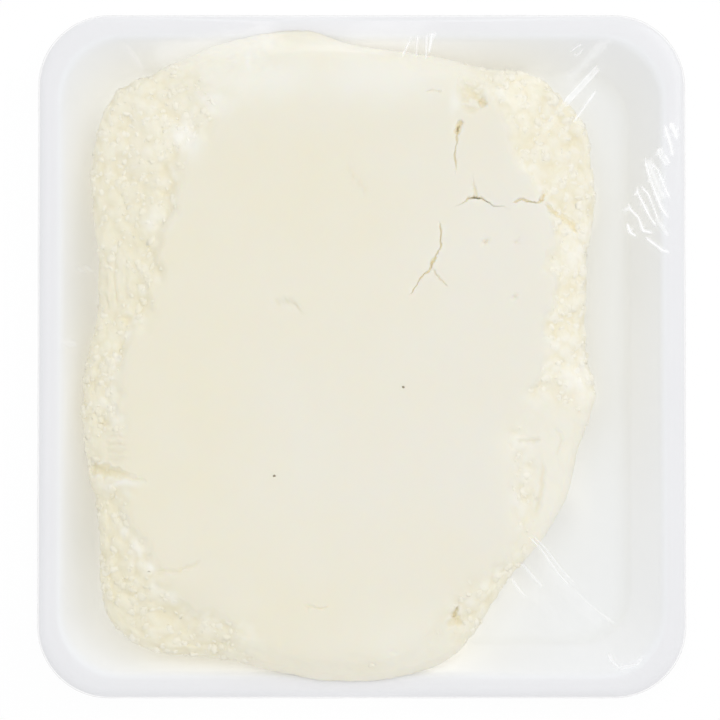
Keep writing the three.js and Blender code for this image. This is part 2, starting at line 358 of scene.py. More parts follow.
class Nodes:
    """A node tree, built socket by socket."""

    def __init__(self, tree: bpy.types.NodeTree) -> None:
        """Takes the tree that the nodes go into."""
        self.tree = tree

    def add(self, kind: str, **settings: object) -> bpy.types.Node:
        """Adds a node and sets its properties and inputs.

        Args:
            kind: The node's type.
            settings: Values or sockets by property or input name, with _ for a space.

        Returns:
            The node.
        """
        node = self.tree.nodes.new(kind)
        for name, value in settings.items():
            words = name.replace("_", " ")
            socket = next((s for s in node.inputs if s.name == words and s.enabled), None)
            if socket is None:
                setattr(node, name, value)
            elif isinstance(value, bpy.types.NodeSocket):
                self.tree.links.new(value, socket)
            else:
                socket.default_value = value
        return node

    def made(self, kind: str, **settings: object) -> bpy.types.NodeSocket:
        """Adds a node as add does and gives its first live output."""
        return next(s for s in self.add(kind, **settings).outputs if s.enabled)

    def reckon(self, operation: str, first: object, second: object) -> bpy.types.NodeSocket:
        """Works out a number from two, each a socket or a plain number."""
        node = self.add("ShaderNodeMath", operation=operation)
        for socket, value in zip(node.inputs, (first, second)):
            if isinstance(value, bpy.types.NodeSocket):
                self.tree.links.new(value, socket)
            else:
                socket.default_value = value
        return node.outputs[0]


class Shader(Nodes):
    """A material's node tree."""

    def __init__(self, name: str) -> None:
        """Makes an empty material with an output."""
        self.material = bpy.data.materials.new(name)
        self.material.use_nodes = True
        super().__init__(self.material.node_tree)
        self.tree.nodes.clear()
        self.output = self.tree.nodes.new("ShaderNodeOutputMaterial")
        self.position = self.add("ShaderNodeTexCoord").outputs["Object"]

    def noise(self, size: float, detail: float = 2.0, roughness: float = 0.5) -> bpy.types.NodeSocket:
        """Gives noise with patches of a size in millimetres."""
        node = self.add(
            "ShaderNodeTexNoise",
            Vector=self.position,
            Scale=1 / (size * MM),
            Detail=detail,
            Roughness=roughness,
        )
        return node.outputs["Factor"] if "Factor" in node.outputs else node.outputs["Fac"]

    def attribute(self, name: str) -> bpy.types.NodeSocket:
        """Reads a number stored on the mesh."""
        return self.add("ShaderNodeAttribute", attribute_name=name).outputs["Fac"]

    def span(self, value: bpy.types.NodeSocket, low: float, high: float) -> bpy.types.NodeSocket:
        """Moves a value from 0 to 1 into low to high."""
        return self.add("ShaderNodeMapRange", Value=value, To_Min=low, To_Max=high).outputs["Result"]

    def times(self, first: object, second: object) -> bpy.types.NodeSocket:
        """Multiplies two values, each a socket or a plain number."""
        return self.reckon("MULTIPLY", first, second)

    def blend(self, factor: bpy.types.NodeSocket, first: object, second: object) -> bpy.types.NodeSocket:
        """Mixes two colours, each a socket or a triple.

        Args:
            factor: 0 for the first, 1 for the second.
            first: The first colour.
            second: The second colour.

        Returns:
            The mixed colour.
        """
        node = self.add("ShaderNodeMix", data_type="RGBA")
        self.tree.links.new(factor, node.inputs["Factor"])
        for socket, colour in ((node.inputs[6], first), (node.inputs[7], second)):
            if isinstance(colour, bpy.types.NodeSocket):
                self.tree.links.new(colour, socket)
            else:
                socket.default_value = (*colour, 1.0)
        return node.outputs[2]

    def bump(
        self, height: bpy.types.NodeSocket, depth: float, below: object = None
    ) -> bpy.types.NodeSocket:
        """Turns a height from 0 to 1 into a relief.

        Args:
            height: The height.
            depth: How deep it goes, in millimetres.
            below: Another relief that it lies on.

        Returns:
            The normal.
        """
        node = self.add("ShaderNodeBump", Strength=1.0, Distance=depth * MM, Height=height)
        if below is not None:
            self.tree.links.new(below, node.inputs["Normal"])
        return node.outputs["Normal"]

    def layer(
        self, share: object, below: bpy.types.NodeSocket, above: bpy.types.NodeSocket
    ) -> bpy.types.NodeSocket:
        """Mixes two shaders.

        Args:
            share: How much of the second shows, a number or a socket.
            below: The first shader.
            above: The second shader.

        Returns:
            The mixed shader.
        """
        node = self.add("ShaderNodeMixShader")
        for socket, value in zip(node.inputs, (share, below, above)):
            if isinstance(value, bpy.types.NodeSocket):
                self.tree.links.new(value, socket)
            else:
                socket.default_value = value
        return node.outputs[0]

    def show(self, shader: bpy.types.NodeSocket) -> bpy.types.Material:
        """Sends a shader to the output and gives the material."""
        self.tree.links.new(shader, self.output.inputs["Surface"])
        return self.material


@dataclass(frozen=True)
class FoamFinish:
    """Thin expanded foam sheet: a cool white skin with fine cells, painted lighter in the hollow, with
    painted light glowing where the hollow would lie in shade and painted shade beside the cheese.
    """

    rim: tuple[float, float, float] = (0.898, 0.893, 0.912)
    # The hollow's wall and floor colours are lighter than the rim: painted light that offsets the shade in
    # the hollow.
    wall_painted_lighter: tuple[float, float, float] = (0.936, 0.945, 0.966)
    floor: tuple[float, float, float] = (0.914, 0.922, 0.920)
    # Colour of the warm painted shade on the foam just beside the cheese.
    painted_warm_shade_colour: tuple[float, float, float] = (0.900, 0.885, 0.820)
    # Colour of the painted shade on the floor at the right, near the cheese.
    painted_floor_shade: tuple[float, float, float] = (0.862, 0.860, 0.822)
    patchy: float = 0.10
    # Strength of the painted light: emission that lifts the hollow where it would lie in shade.
    painted_light_strength: float = 0.15
    roughness: tuple[float, float] = (0.42, 0.56)
    cell: float = 0.55
    cell_depth: float = 0.006
    sag: float = 9.0
    sag_depth: float = 0.06

    def material(self) -> bpy.types.Material:
        """Builds the material."""
        shader = Shader("white_foam")
        patches = shader.noise(self.sag, 3.0)
        cells = shader.add(
            "ShaderNodeTexVoronoi", Vector=shader.position, Scale=1 / (self.cell * MM), Randomness=1.0
        )
        relief = shader.bump(patches, self.sag_depth)
        relief = shader.bump(cells.outputs["Distance"], self.cell_depth, relief)
        inside = shader.attribute("inside")
        share = shader.reckon("ADD", inside, shader.span(patches, -self.patchy, self.patchy))
        # The hollow is painted lighter than the rim, painted light against its shade.
        colour = shader.blend(share, self.rim, self.wall_painted_lighter)
        colour = shader.blend(shader.attribute("level"), colour, self.floor)
        # Painted shade: the floor at the right, near the cheese, is darkened.
        colour = shader.blend(shader.attribute("painted_floor_shade"), colour, self.painted_floor_shade)
        body = shader.add(
            "ShaderNodeBsdfPrincipled",
            # Warm painted shade just beside the cheese.
            Base_Color=shader.blend(shader.attribute("painted_warm_shade"), colour, self.painted_warm_shade_colour),
            Roughness=shader.span(shader.noise(1.6), *self.roughness),
            Normal=relief,
            # The emission is painted light, a glow laid where the hollow would lie in shade; the foam is no
            # lamp.
            Emission_Color=(1.0, 1.0, 0.99, 1.0),
            Emission_Strength=shader.times(shader.attribute("glow"), self.painted_light_strength),
        )
        return shader.show(body.outputs[0])


@dataclass(frozen=True)
class CheeseFinish:
    """Fresh cheese: moist, ivory where it was pressed, whiter on broken curds, with painted shade in the
    gaps and a faint painted glow on the crumbly edge.
    """

    name: str = "fresh_cheese"
    pressed: tuple[float, float, float] = (0.943, 0.878, 0.699)
    pressed_pale: tuple[float, float, float] = (0.937, 0.894, 0.786)
    broken: tuple[float, float, float] = (0.950, 0.895, 0.700)
    broken_pale: tuple[float, float, float] = (0.972, 0.927, 0.788)
    white: tuple[float, float, float] = (0.990, 0.968, 0.895)
    # The gap colour is painted shade, darker and yellower in the gaps between curds and in the cuts,
    # together with the cheese's own deeper colour there.
    gap: tuple[float, float, float] = (0.890, 0.815, 0.580)
    # Painted glow: faint emission on the crumbly edge, and its colour; the cheese is no lamp.
    painted_glow_range: tuple[float, float] = (0.008, 0.035)
    painted_glow_colour: tuple[float, float, float] = (1.0, 0.92, 0.72)
    roughness: tuple[float, float] = (0.40, 0.62)
    swells: tuple[float, float] = (5.5, 0.05)
    pores: tuple[float, float] = (0.9, 0.015)
    grain: float = 0.42
    grain_depth: float = 0.06
    cloud: float = 9.0
    cloudy: float = 0.35
    # More painted glow on the whiter curds.
    painted_glow_on_white: float = 0.04
    glow: float = 0.35
    glow_depth: float = 1.3

    def material(self) -> bpy.types.Material:
        """Builds the material."""
        shader = Shader(self.name)
        clouds = shader.span(shader.noise(self.cloud, 3.0), -self.cloudy, self.cloudy)
        pale = shader.reckon("ADD", shader.attribute("pale"), clouds)
        grain = shader.noise(self.grain, 3.0, 0.6)
        crumb = shader.attribute("crumb")
        smooth_skin = shader.blend(pale, self.pressed, self.pressed_pale)
        broken_skin = shader.blend(pale, self.broken, self.broken_pale)
        colour = shader.blend(crumb, smooth_skin, broken_skin)
        white = shader.attribute("white")
        # Painted light: emission that brightens the crumbly edge and the whiter curds.
        painted_glow_amount = shader.times(crumb, shader.span(pale, *self.painted_glow_range))
        painted_glow_amount = shader.reckon("ADD", painted_glow_amount, shader.times(white, self.painted_glow_on_white))
        colour = shader.blend(white, colour, self.white)
        # Painted shade in the gaps and cuts, with some of the cheese's own deeper colour.
        colour = shader.blend(shader.attribute("gap"), colour, self.gap)
        relief = None
        for size, depth in (self.swells, self.pores):
            relief = shader.bump(shader.noise(size), depth, relief)
        relief = shader.bump(shader.times(grain, crumb), self.grain_depth, relief)
        body = shader.add(
            "ShaderNodeBsdfPrincipled",
            Base_Color=colour,
            Roughness=shader.span(shader.noise(1.1), *self.roughness),
            Normal=relief,
            Emission_Color=(*self.painted_glow_colour, 1.0),
            Emission_Strength=painted_glow_amount,
            Subsurface_Weight=shader.span(crumb, self.glow, 0.3 * self.glow),
            Subsurface_Radius=(1.0, 0.8, 0.5),
            Subsurface_Scale=self.glow_depth * MM,
        )
        return shader.show(body.outputs[0])


@dataclass(frozen=True)
class SpeckFinish:
    """A scorched milk speck."""

    colour: tuple[float, float, float] = (0.20, 0.15, 0.08)
    pale: tuple[float, float, float] = (0.36, 0.30, 0.18)

    def material(self) -> bpy.types.Material:
        """Builds the material."""
        shader = Shader("brown_speck")
        grain = shader.noise(0.12, 2.0)
        body = shader.add(
            "ShaderNodeBsdfPrincipled",
            Base_Color=shader.blend(grain, self.colour, self.pale),
            Roughness=0.6,
            Normal=shader.bump(grain, 0.03),
        )
        return shader.show(body.outputs[0])


@dataclass(frozen=True)
class FilmFinish:
    """Clear stretch film: it mirrors a little everywhere, and whitens where it is strained or creased, the
    whitening carrying painted highlights that glow.
    """

    gloss: float = 0.03
    edge_gloss: float = 0.35
    edge_power: float = 5.0
    roughness: float = 0.12
    white: tuple[float, float, float] = (0.980, 0.980, 0.975)
    # Strength of the painted glint: emission on the whitened creases that stands in for the lamps'
    # highlights.
    painted_glint: float = 0.12

    def material(self) -> bpy.types.Material:
        """Builds the material."""
        shader = Shader("clear_film")
        clear = shader.made("ShaderNodeBsdfTransparent")
        mirror = shader.made("ShaderNodeBsdfGlossy", Roughness=self.roughness)
        slant = shader.add("ShaderNodeLayerWeight", Blend=0.5).outputs["Facing"]
        shine = shader.times(shader.reckon("POWER", slant, self.edge_power), self.edge_gloss)
        film = shader.layer(shader.reckon("ADD", shine, self.gloss), clear, mirror)
        # The white layer is strain whitening and painted highlight, with a painted glow.
        milk_and_sheen = shader.made(
            "ShaderNodeBsdfPrincipled",
            Base_Color=(*self.white, 1.0),
            Roughness=0.3,
            Emission_Color=(1.0, 1.0, 1.0, 1.0),
            Emission_Strength=self.painted_glint,
        )
        return shader.show(shader.layer(shader.attribute("milk_and_sheen"), film, milk_and_sheen))


@dataclass(frozen=True)
class FloorFinish:
    """A white sweep that is lit from behind, so that the pack throws hardly any shadow on it."""

    glow: float = 1.02
    share: float = 0.12

    def material(self) -> bpy.types.Material:
        """Builds the material."""
        shader = Shader("white_sweep")
        light = shader.made("ShaderNodeEmission", Color=(1.0, 1.0, 1.0, 1.0), Strength=self.glow)
        paper = shader.made("ShaderNodeBsdfDiffuse", Color=(0.9, 0.9, 0.9, 1.0))
        return shader.show(shader.layer(self.share, light, paper))


@dataclass
class FoamTray:
    """The shallow tray: a base, sloping walls and a rolled rim."""

    width: float = 134.0
    length: float = 141.4
    corner: float = 14.8
    corner_ease: float = 0.35
    lift: float = 0.7
    foam: float = 4.0
    height: float = 16.0
    rim_width: float = 3.8
    waviness: float = 0.12
    # These fields paint light onto the foam as emission: on the walls at the right and the near end, along
    # the inner lip, and near the cheese where the hollow lies in its shade.
    painted_wall_light: float = 0.27
    painted_lip_highlight: float = 0.16
    painted_contact_fill: float = 0.8
    painted_fill_near_cheese: tuple[float, float] = (0.95, 1.25)
    # Strength of the warm painted shade on the foam beside the cheese.
    painted_warm_shade: float = 0.5
    painted_fill_reach: tuple[float, float] = (4.0, 8.0)
    painted_contact_fill_reach: float = 1.3
    painted_warm_shade_reach: float = 2.5
    # How far the painted shade on the floor at the right reaches from the cheese.
    painted_floor_shade_reach: float = 5.0
    stations: int = 512
    samples: int = 3
    outside: tuple[tuple[float, float], ...] = (
        (16, 0), (10.4, 0), (9, 0.5), (8.4, 1.6), (2.9, 12.1), (2.1, 12.9), (0.9, 13.1), (0.2, 13.6),
        (0, 14.3), (0.1, 15), (0.6, 15.6), (1.4, 15.93),
    )
    inside: tuple[tuple[float, float], ...] = (
        (2.4, 16), (3.4, 15.97), (4.3, 15.7), (5, 15.1), (5.6, 14.2), (10.2, 6.2), (11.2, 4.9),
        (12.8, 4.15), (15, 4.0), (18, 4.0),
    )

    @property
    def rim(self) -> float:
        """Height of the rim's crown."""
        return self.lift + self.height

    @property
    def floor(self) -> float:
        """Height of the tray's floor."""
        return self.lift + self.foam

    def radius(self, angle: Field, inset: Field | float) -> Field:
        """Finds the tray's radius in each direction by halving the search span.

        Args:
            angle: Directions from the middle.
            inset: How far in from the rim's outer edge.

        Returns:
            One radius for each direction.
        """
        corner = self.corner - self.corner_ease * np.maximum(inset, 0)
        low = np.zeros_like(angle)
        high = np.full_like(angle, self.width + self.length)
        for _ in range(34):
            middle = (low + high) / 2
            over_x = np.abs(middle * np.cos(angle)) - (self.width / 2 - inset - corner)
            over_y = np.abs(middle * np.sin(angle)) - (self.length / 2 - inset - corner)
            reach = np.hypot(np.maximum(over_x, 0), np.maximum(over_y, 0))
            outside = reach + np.minimum(np.maximum(over_x, over_y), 0) > corner
            high = np.where(outside, middle, high)
            low = np.where(outside, low, middle)
        return low

    def ring(self, inset: float, height: float, stations: int | None = None) -> Points:
        """Makes one level of the tray, anticlockwise from above."""
        count = stations or self.stations
        angle = np.arange(count) / count * TURN
        radius = self.radius(angle, inset)
        return np.stack([radius * np.cos(angle), radius * np.sin(angle), np.full(count, height)], 1)

    def section(self) -> Points:
        """Rounds the tray's section into a smooth chain of insets and heights."""
        corners = np.array(self.outside + self.inside, float)
        padded = np.concatenate([corners[:1], corners, corners[-1:]])
        chain = [corners[0]]
        for p0, p1, p2, p3 in zip(padded, padded[1:], padded[2:], padded[3:]):
            span = np.linalg.norm(p2 - p1)
            leave = (p2 - p0) / max(np.linalg.norm(p2 - p0), span) * span
            reach = (p3 - p1) / max(np.linalg.norm(p3 - p1), span) * span
            for t in (np.arange(self.samples) + 1) / self.samples:
                chain.append(
                    p1
                    + leave * t
                    + (3 * (p2 - p1) - 2 * leave - reach) * t**2
                    + (2 * (p1 - p2) + leave + reach) * t**3
                )
        return np.array(chain)

    def _paint(self, mesh: bpy.types.Mesh, slab: "CheeseSlab") -> None:
        """Paints the hollow and its floor, painted light (emission) where the hollow would lie in shade,
        and painted shade beside the cheese and on the floor at the right.

        Args:
            mesh: The tray's mesh.
            slab: The cheese that lies in it.
        """
        points = places(mesh)
        angle = np.arctan2(points[:, 1], points[:, 0])
        radius = np.hypot(points[:, 0], points[:, 1])
        sunk = self.rim - points[:, 2]
        hollow = self.radius(angle, self.rim_width)
        inside = smooth(hollow - radius, -0.6, 0.6) * smooth(points[:, 2], self.lift, self.floor)
        level = smooth(-points[:, 2], -self.floor - 2.5, -self.floor - 0.3)
        edge = slab.edge.radius(angle)
        away = np.maximum(radius - edge, 0)
        to_key = smooth(np.cos(angle + 0.9), -0.2, 0.9)
        from_key = smooth(-np.cos(angle), -0.75, -0.25)
        toward_painted_floor_shade = smooth(np.cos(angle - 0.1), 0.8, 0.96)
        # Painted light: emission that lifts the shade near the cheese on the sides away from the key, at
        # its contact on the key side, on the walls at the right and the near end, and along the inner lip.
        reach = self.painted_fill_reach[0] + (self.painted_fill_reach[1] - self.painted_fill_reach[0]) * np.sin(angle) ** 2
        narrow = 1 - smooth(hollow - edge, 5, 14)
        wide_painted_fill, narrow_painted_fill = self.painted_fill_near_cheese
        glow = from_key * (wide_painted_fill + (narrow_painted_fill - wide_painted_fill) * narrow) * np.exp(-away / reach)
        glow += self.painted_contact_fill * (1 - from_key) * np.exp(-away / self.painted_contact_fill_reach)
        glow = smooth(sunk, 0.2, 2.0) * (self.painted_wall_light * to_key * (1 - level) + glow)
        lip = smooth(sunk, 0.1, 0.5) * smooth(-sunk, -2.4, -1.0)
        glow += self.painted_lip_highlight * lip * smooth(-np.cos(angle) - np.sin(angle), -0.3, 0.6)
        paint(mesh, "inside", inside)
        paint(mesh, "level", inside * level)
        # Painted shade on the floor at the right, fading away from the cheese.
        paint(mesh, "painted_floor_shade", inside * level * toward_painted_floor_shade * np.exp(-away / self.painted_floor_shade_reach))
        # Warm painted shade on the foam just beside the cheese, deeper in the hollow.
        paint(mesh, "painted_warm_shade", self.painted_warm_shade * inside * smooth(sunk, 0.5, 6) * np.exp(-away / self.painted_warm_shade_reach))
        # The painted light, which the foam's shader turns into emission.
        paint(mesh, "glow", inside * glow)

    def build(self, finish: FoamFinish, slab: "CheeseSlab") -> bpy.types.Object:
        """Makes the tray.

        Args:
            finish: The foam's finish.
            slab: The cheese that lies in it, round whose edge the foam gets painted light and painted
                shade.

        Returns:
            The finished piece.
        """
        skin = Skin()
        skin.ring(np.array([[0.0, 0.0, self.lift]]))
        skin.ring(self.ring(40, self.lift, self.stations // 4))
        skin.ring(self.ring(24, self.lift, self.stations // 2))
        for inset, height in self.section():
            skin.ring(self.ring(inset, self.lift + height))
        skin.ring(self.ring(24, self.floor, self.stations // 2))
        skin.ring(self.ring(40, self.floor, self.stations // 4))
        skin.ring(np.array([[0.0, 0.0, self.floor]]))
        mesh = skin.mesh("tray_shell")
        points = places(mesh)
        uneven = self.waviness * (ripple(points * [1, 1, 0], 38.0) - 0.5)
        points[:, 2] += uneven * smooth(points[:, 2], 12, 16)
        reshape(mesh, points)
        self._paint(mesh, slab)
        piece = finish_piece(mesh, finish.material())
        hand_over(piece, Node.TRAY)
        return piece


@dataclass(frozen=True)
class Mark:
    """A line drawn on the cheese: a crack, a crease or a scar."""

    path: list[list[float]]
    width: float
    depth: float
    # How much the cut is painted in the gap colour: painted shade in the crack, with stain.
    shade_and_stain: float = 1.0
    fade: tuple[float, float] = (0.14, 0.14)


@dataclass(frozen=True)
class CurdLayer:
    """Curds of one size: their spacing, relief, the painted shade and stain between them and how ragged
    they are.
    """

    size: float
    depth: float
    shade_and_stain: float
    ragged: float
    seed: float


@dataclass(frozen=True)
class Spot:
    """A rounded dent or lump, or a patch of another shade, with its half sizes."""

    at: tuple[float, float]
    size: tuple[float, float]
    depth: float = 0.0

    def cover(self, points: Points) -> Field:
        """Fades from 1 in the middle of the spot to 0 outside it."""
        x, y = (points[:, axis] - self.at[axis] for axis in (0, 1))
        return np.exp(-((x / self.size[0]) ** 2) - (y / self.size[1]) ** 2)


CRACKS = [
    Mark([[20.0, 57.4], [21.6, 55.1], [23.3, 53.4], [26.0, 51.2]], 2.4, 0.65, 0.6, (0.5, 0.2)),
    Mark([[19.8, 57.4], [20.7, 54.6], [21.6, 51.6]], 2.2, 0.5, 0.5, (0.9, 0.2)),
    Mark([[24.2, 52.4], [25.6, 51.5]], 1.6, 0.6, 0.9),
    Mark([[20.4, 51.4], [22.4, 50.6], [25.3, 51.2]], 1.8, 0.35, 0.4, (0.3, 0.3)),
    Mark([[12.9, 54.4], [16.6, 54.6]], 0.35, 0.3, 0.3),
    Mark([[20.4, 48.6], [20, 46.9], [19.6, 45.6]], 1.15, 0.8),
    Mark([[20.1, 47.4], [19.8, 46.2]], 0.35, 1.1, 1.0, (0.3, 0.3)),
    Mark([[19.9, 46], [19.4, 43.5], [19, 41], [19.2, 39], [19.4, 37.2]], 0.34, 0.6, 1.0, (0.05, 0.3)),
    Mark([[22.9, 37.2], [23.1, 34.8], [23.5, 32.8]], 1.1, 0.45, 0.6, (0.8, 0.02)),
    Mark([[19.4, 30.5], [21.4, 31.9], [23.5, 32.5]], 0.4, 0.8, 0.9, (0.95, 0.02)),
    Mark([[23.5, 32.5], [25.0, 32.1], [27.5, 30.8], [30.3, 30.3]], 0.4, 0.8, 0.9, (0.02, 0.97)),
    Mark([[22.6, 32.2], [23.5, 32.6], [24.5, 32.2]], 0.36, 1.0, 1.0, (0.3, 0.3)),
    Mark([[31, 31.2], [33, 31.9], [36, 31.4], [37.6, 31.9]], 0.5, 0.7, 0.7),
    Mark([[37.0, 31.6], [37.5, 33.4]], 1.1, 0.8, 0.9, (0.2, 0.3)),
    Mark([[38.0, 31.0], [40.2, 29.2], [43.0, 27.7], [44.6, 25.2]], 1.3, 0.8, 0.8),
    Mark([[16, 27.5], [16.5, 25], [16.5, 22.5], [15.3, 20.5], [14, 17.5]], 0.4, 0.7),
    Mark([[15, 19.5], [14, 17.5], [12.5, 16], [11, 14], [9.8, 12]], 0.34, 0.6),
    Mark([[14.4, 17.4], [16, 16], [17.8, 13.8]], 0.3, 0.4, 0.6),
    Mark([[-56.0, -23.6], [-51.5, -24.0], [-48, -25.0], [-44.6, -26.0]], 2.8, 1.1, 1.0, (0.01, 0.9)),
    Mark([[-42, -44.5], [-38.5, -44.7], [-36, -44], [-33, -42.3]], 0.9, 0.25, 0.25),
    Mark([[-12, -51.3], [-9.5, -52.2], [-7, -52.1]], 0.7, 0.25, 0.3),
]

SCARS = [
    Mark([[-3.5, 38.9], [-1, 36], [1.7, 32.3]], 0.8, 0.35, 0.3),
    Mark([[-18.6, 9.6], [-16.5, 11.2], [-14, 10.6], [-12.2, 8.6]], 0.9, 0.45, 0.35),
    Mark([[-10, -14], [-4, -15.5], [3, -15]], 0.7, 0.05, 0.0),
    Mark([[-30, -8], [-24, -5], [-17, -4.5]], 0.8, 0.05, 0.0),
    Mark([[-53.6, -16.7], [-50.5, -16.6], [-48.6, -17.0]], 0.9, 0.35, 0.25),
    Mark([[-53.4, -18.2], [-50.5, -18.3], [-47.6, -18.9]], 0.8, 0.35, 0.2),
    Mark([[-53.2, -19.6], [-50.2, -19.9], [-48.0, -20.3]], 0.8, 0.3, 0.2),
    Mark([[-52.8, -21.3], [-50.0, -21.6], [-47.8, -21.9]], 0.8, 0.3, 0.15),
    Mark([[-53.2, 21.5], [-53.4, 15], [-52.9, 9.2]], 0.9, 0.4, 0.3),
    Mark([[-50.9, 22.5], [-51.2, 16], [-50.6, 10.0]], 0.9, 0.4, 0.3),
    Mark([[-48.4, 21.0], [-48.9, 15], [-48.3, 10.4]], 0.8, 0.3, 0.25),
    Mark([[25.0, 23.4], [26.1, 23.1]], 1.0, 0.3, 0.4, (0.4, 0.4)),
    Mark([[31.7, 23.5], [32.4, 23.1]], 0.9, 0.25, 0.35, (0.4, 0.4)),
    Mark([[31.1, 12.2], [32.1, 11.8]], 0.9, 0.25, 0.35, (0.4, 0.4)),
    Mark([[31.6, -17.6], [34, -17.9], [37.2, -17.4]], 0.8, 0.4, 0.4),
    Mark([[36.6, -19.5], [37.2, -23], [37, -27], [36.2, -31.5], [35, -34.5]], 1.5, 0.45, 0.55, (0.4, 0.3)),
    Mark([[33, -19.5], [32.5, -24], [32.8, -28]], 0.7, 0.25, 0.2),
    Mark([[39.5, -14.5], [41.3, -17.5], [40.2, -21.5]], 0.9, 0.3, 0.3),
    Mark([[17.4, -56.2], [19.2, -54.4], [21.4, -56.4]], 2.2, 0.5, 0.8, (0.3, 0.3)),
    Mark([[19.6, -51.9], [19.0, -54.2]], 0.9, 1.2, 1.0),
]

HOLLOWS = [
    Spot((22.8, 53.2), (2.2, 2.2), 0.6),
    Spot((37.8, 33.4), (0.7, 0.7), 1.0),
    Spot((-48.5, 7.5), (1.0, 0.7), 1.2),
    Spot((19.5, -54.5), (0.7, 1.1), 1.2),
    Spot((-40.8, 33.7), (1.0, 0.9), 1.0),
    Spot((-52.6, -14.2), (0.9, 0.6), 0.8),
    Spot((25.5, 23.3), (0.7, 0.5), 0.5),
    Spot((32.0, 23.3), (0.6, 0.5), 0.4),
    Spot((31.6, 11.9), (0.5, 0.5), 0.4),
    Spot((39.4, 20.0), (0.7, 0.6), 0.6),
    Spot((6.3, -61.2), (0.8, 0.6), 0.3),
    Spot((-37.0, -54.3), (6.2, 5.8), 1.3),
]

FINE_HALF = 0.35
SMALL_HOLLOW = 1.2

ROOM_IN_TRAY = [
    (4.0, 15.5), (4.6, 12.9), (5.6, 11.6), (6.6, 10.9), (15.1, 6.0), (15.9, 5.5), (16.4, 4.2), (16.8, 2.4),
]

LUMPS = [
    Spot((-24.2, -59.0), (2.4, 2.0), 0.7),
    Spot((24.1, -50.7), (2.2, 2.0), 0.6),
]

CRUMBLY_PATCHES = [
    Spot((32.0, -18.0), (3.4, 4.6), 0.7),
    Spot((33.8, -27.0), (2.8, 11.0), 0.8),
    Spot((24.6, -49.6), (4.4, 3.4), 0.7),
]

SMOOTH_PATCHES = [
    Spot((-50.0, -19.5), (5.5, 6.0), 0.95),
    Spot((-51.5, -24.8), (9.0, 3.6), 1.0),
    Spot((-51.0, 15.0), (4.5, 8.0), 0.6),
]

WHITE_PATCHES = [
    Spot((-36.4, 45.6), (2.9, 4.2), 1.0),
    Spot((-30.2, 52.2), (4.2, 2.4), 0.7),
    Spot((-42.6, 27.8), (3.0, 2.4), 0.7),
    Spot((-23.2, 60.5), (1.5, 3.4), 0.7),
    Spot((-20.0, 57.5), (15.0, 5.2), 0.6),
    Spot((45.0, -4.6), (3.4, 4.6), 0.9),
    Spot((-43.9, -44.0), (1.2, 2.0), 1.0),
    Spot((-49.6, -26.9), (3.6, 0.9), 0.8),
    Spot((10.0, -58.0), (11.0, 5.5), 0.25),
    Spot((40.0, -24.0), (6.0, 14.0), 0.25),
    Spot((-4.0, 63.5), (16.0, 3.4), 0.5),
    Spot((3.0, 57.5), (17.0, 5.2), 0.6),
    Spot((44.0, 22.0), (3.0, 6.0), 0.4),
    Spot((19.2, 52.6), (0.7, 4.0), 0.65),
]

SPECKS = [(-18.0, -25.0), (8.55, -6.7)]

CURD_LAYERS = [
    CurdLayer(6.8, 1.25, 0.1, 0.7, 0.0),
    CurdLayer(3.6, 1.1, 0.3, 0.7, 31.7),
    CurdLayer(2.0, 0.9, 0.35, 0.5, 77.3),
]


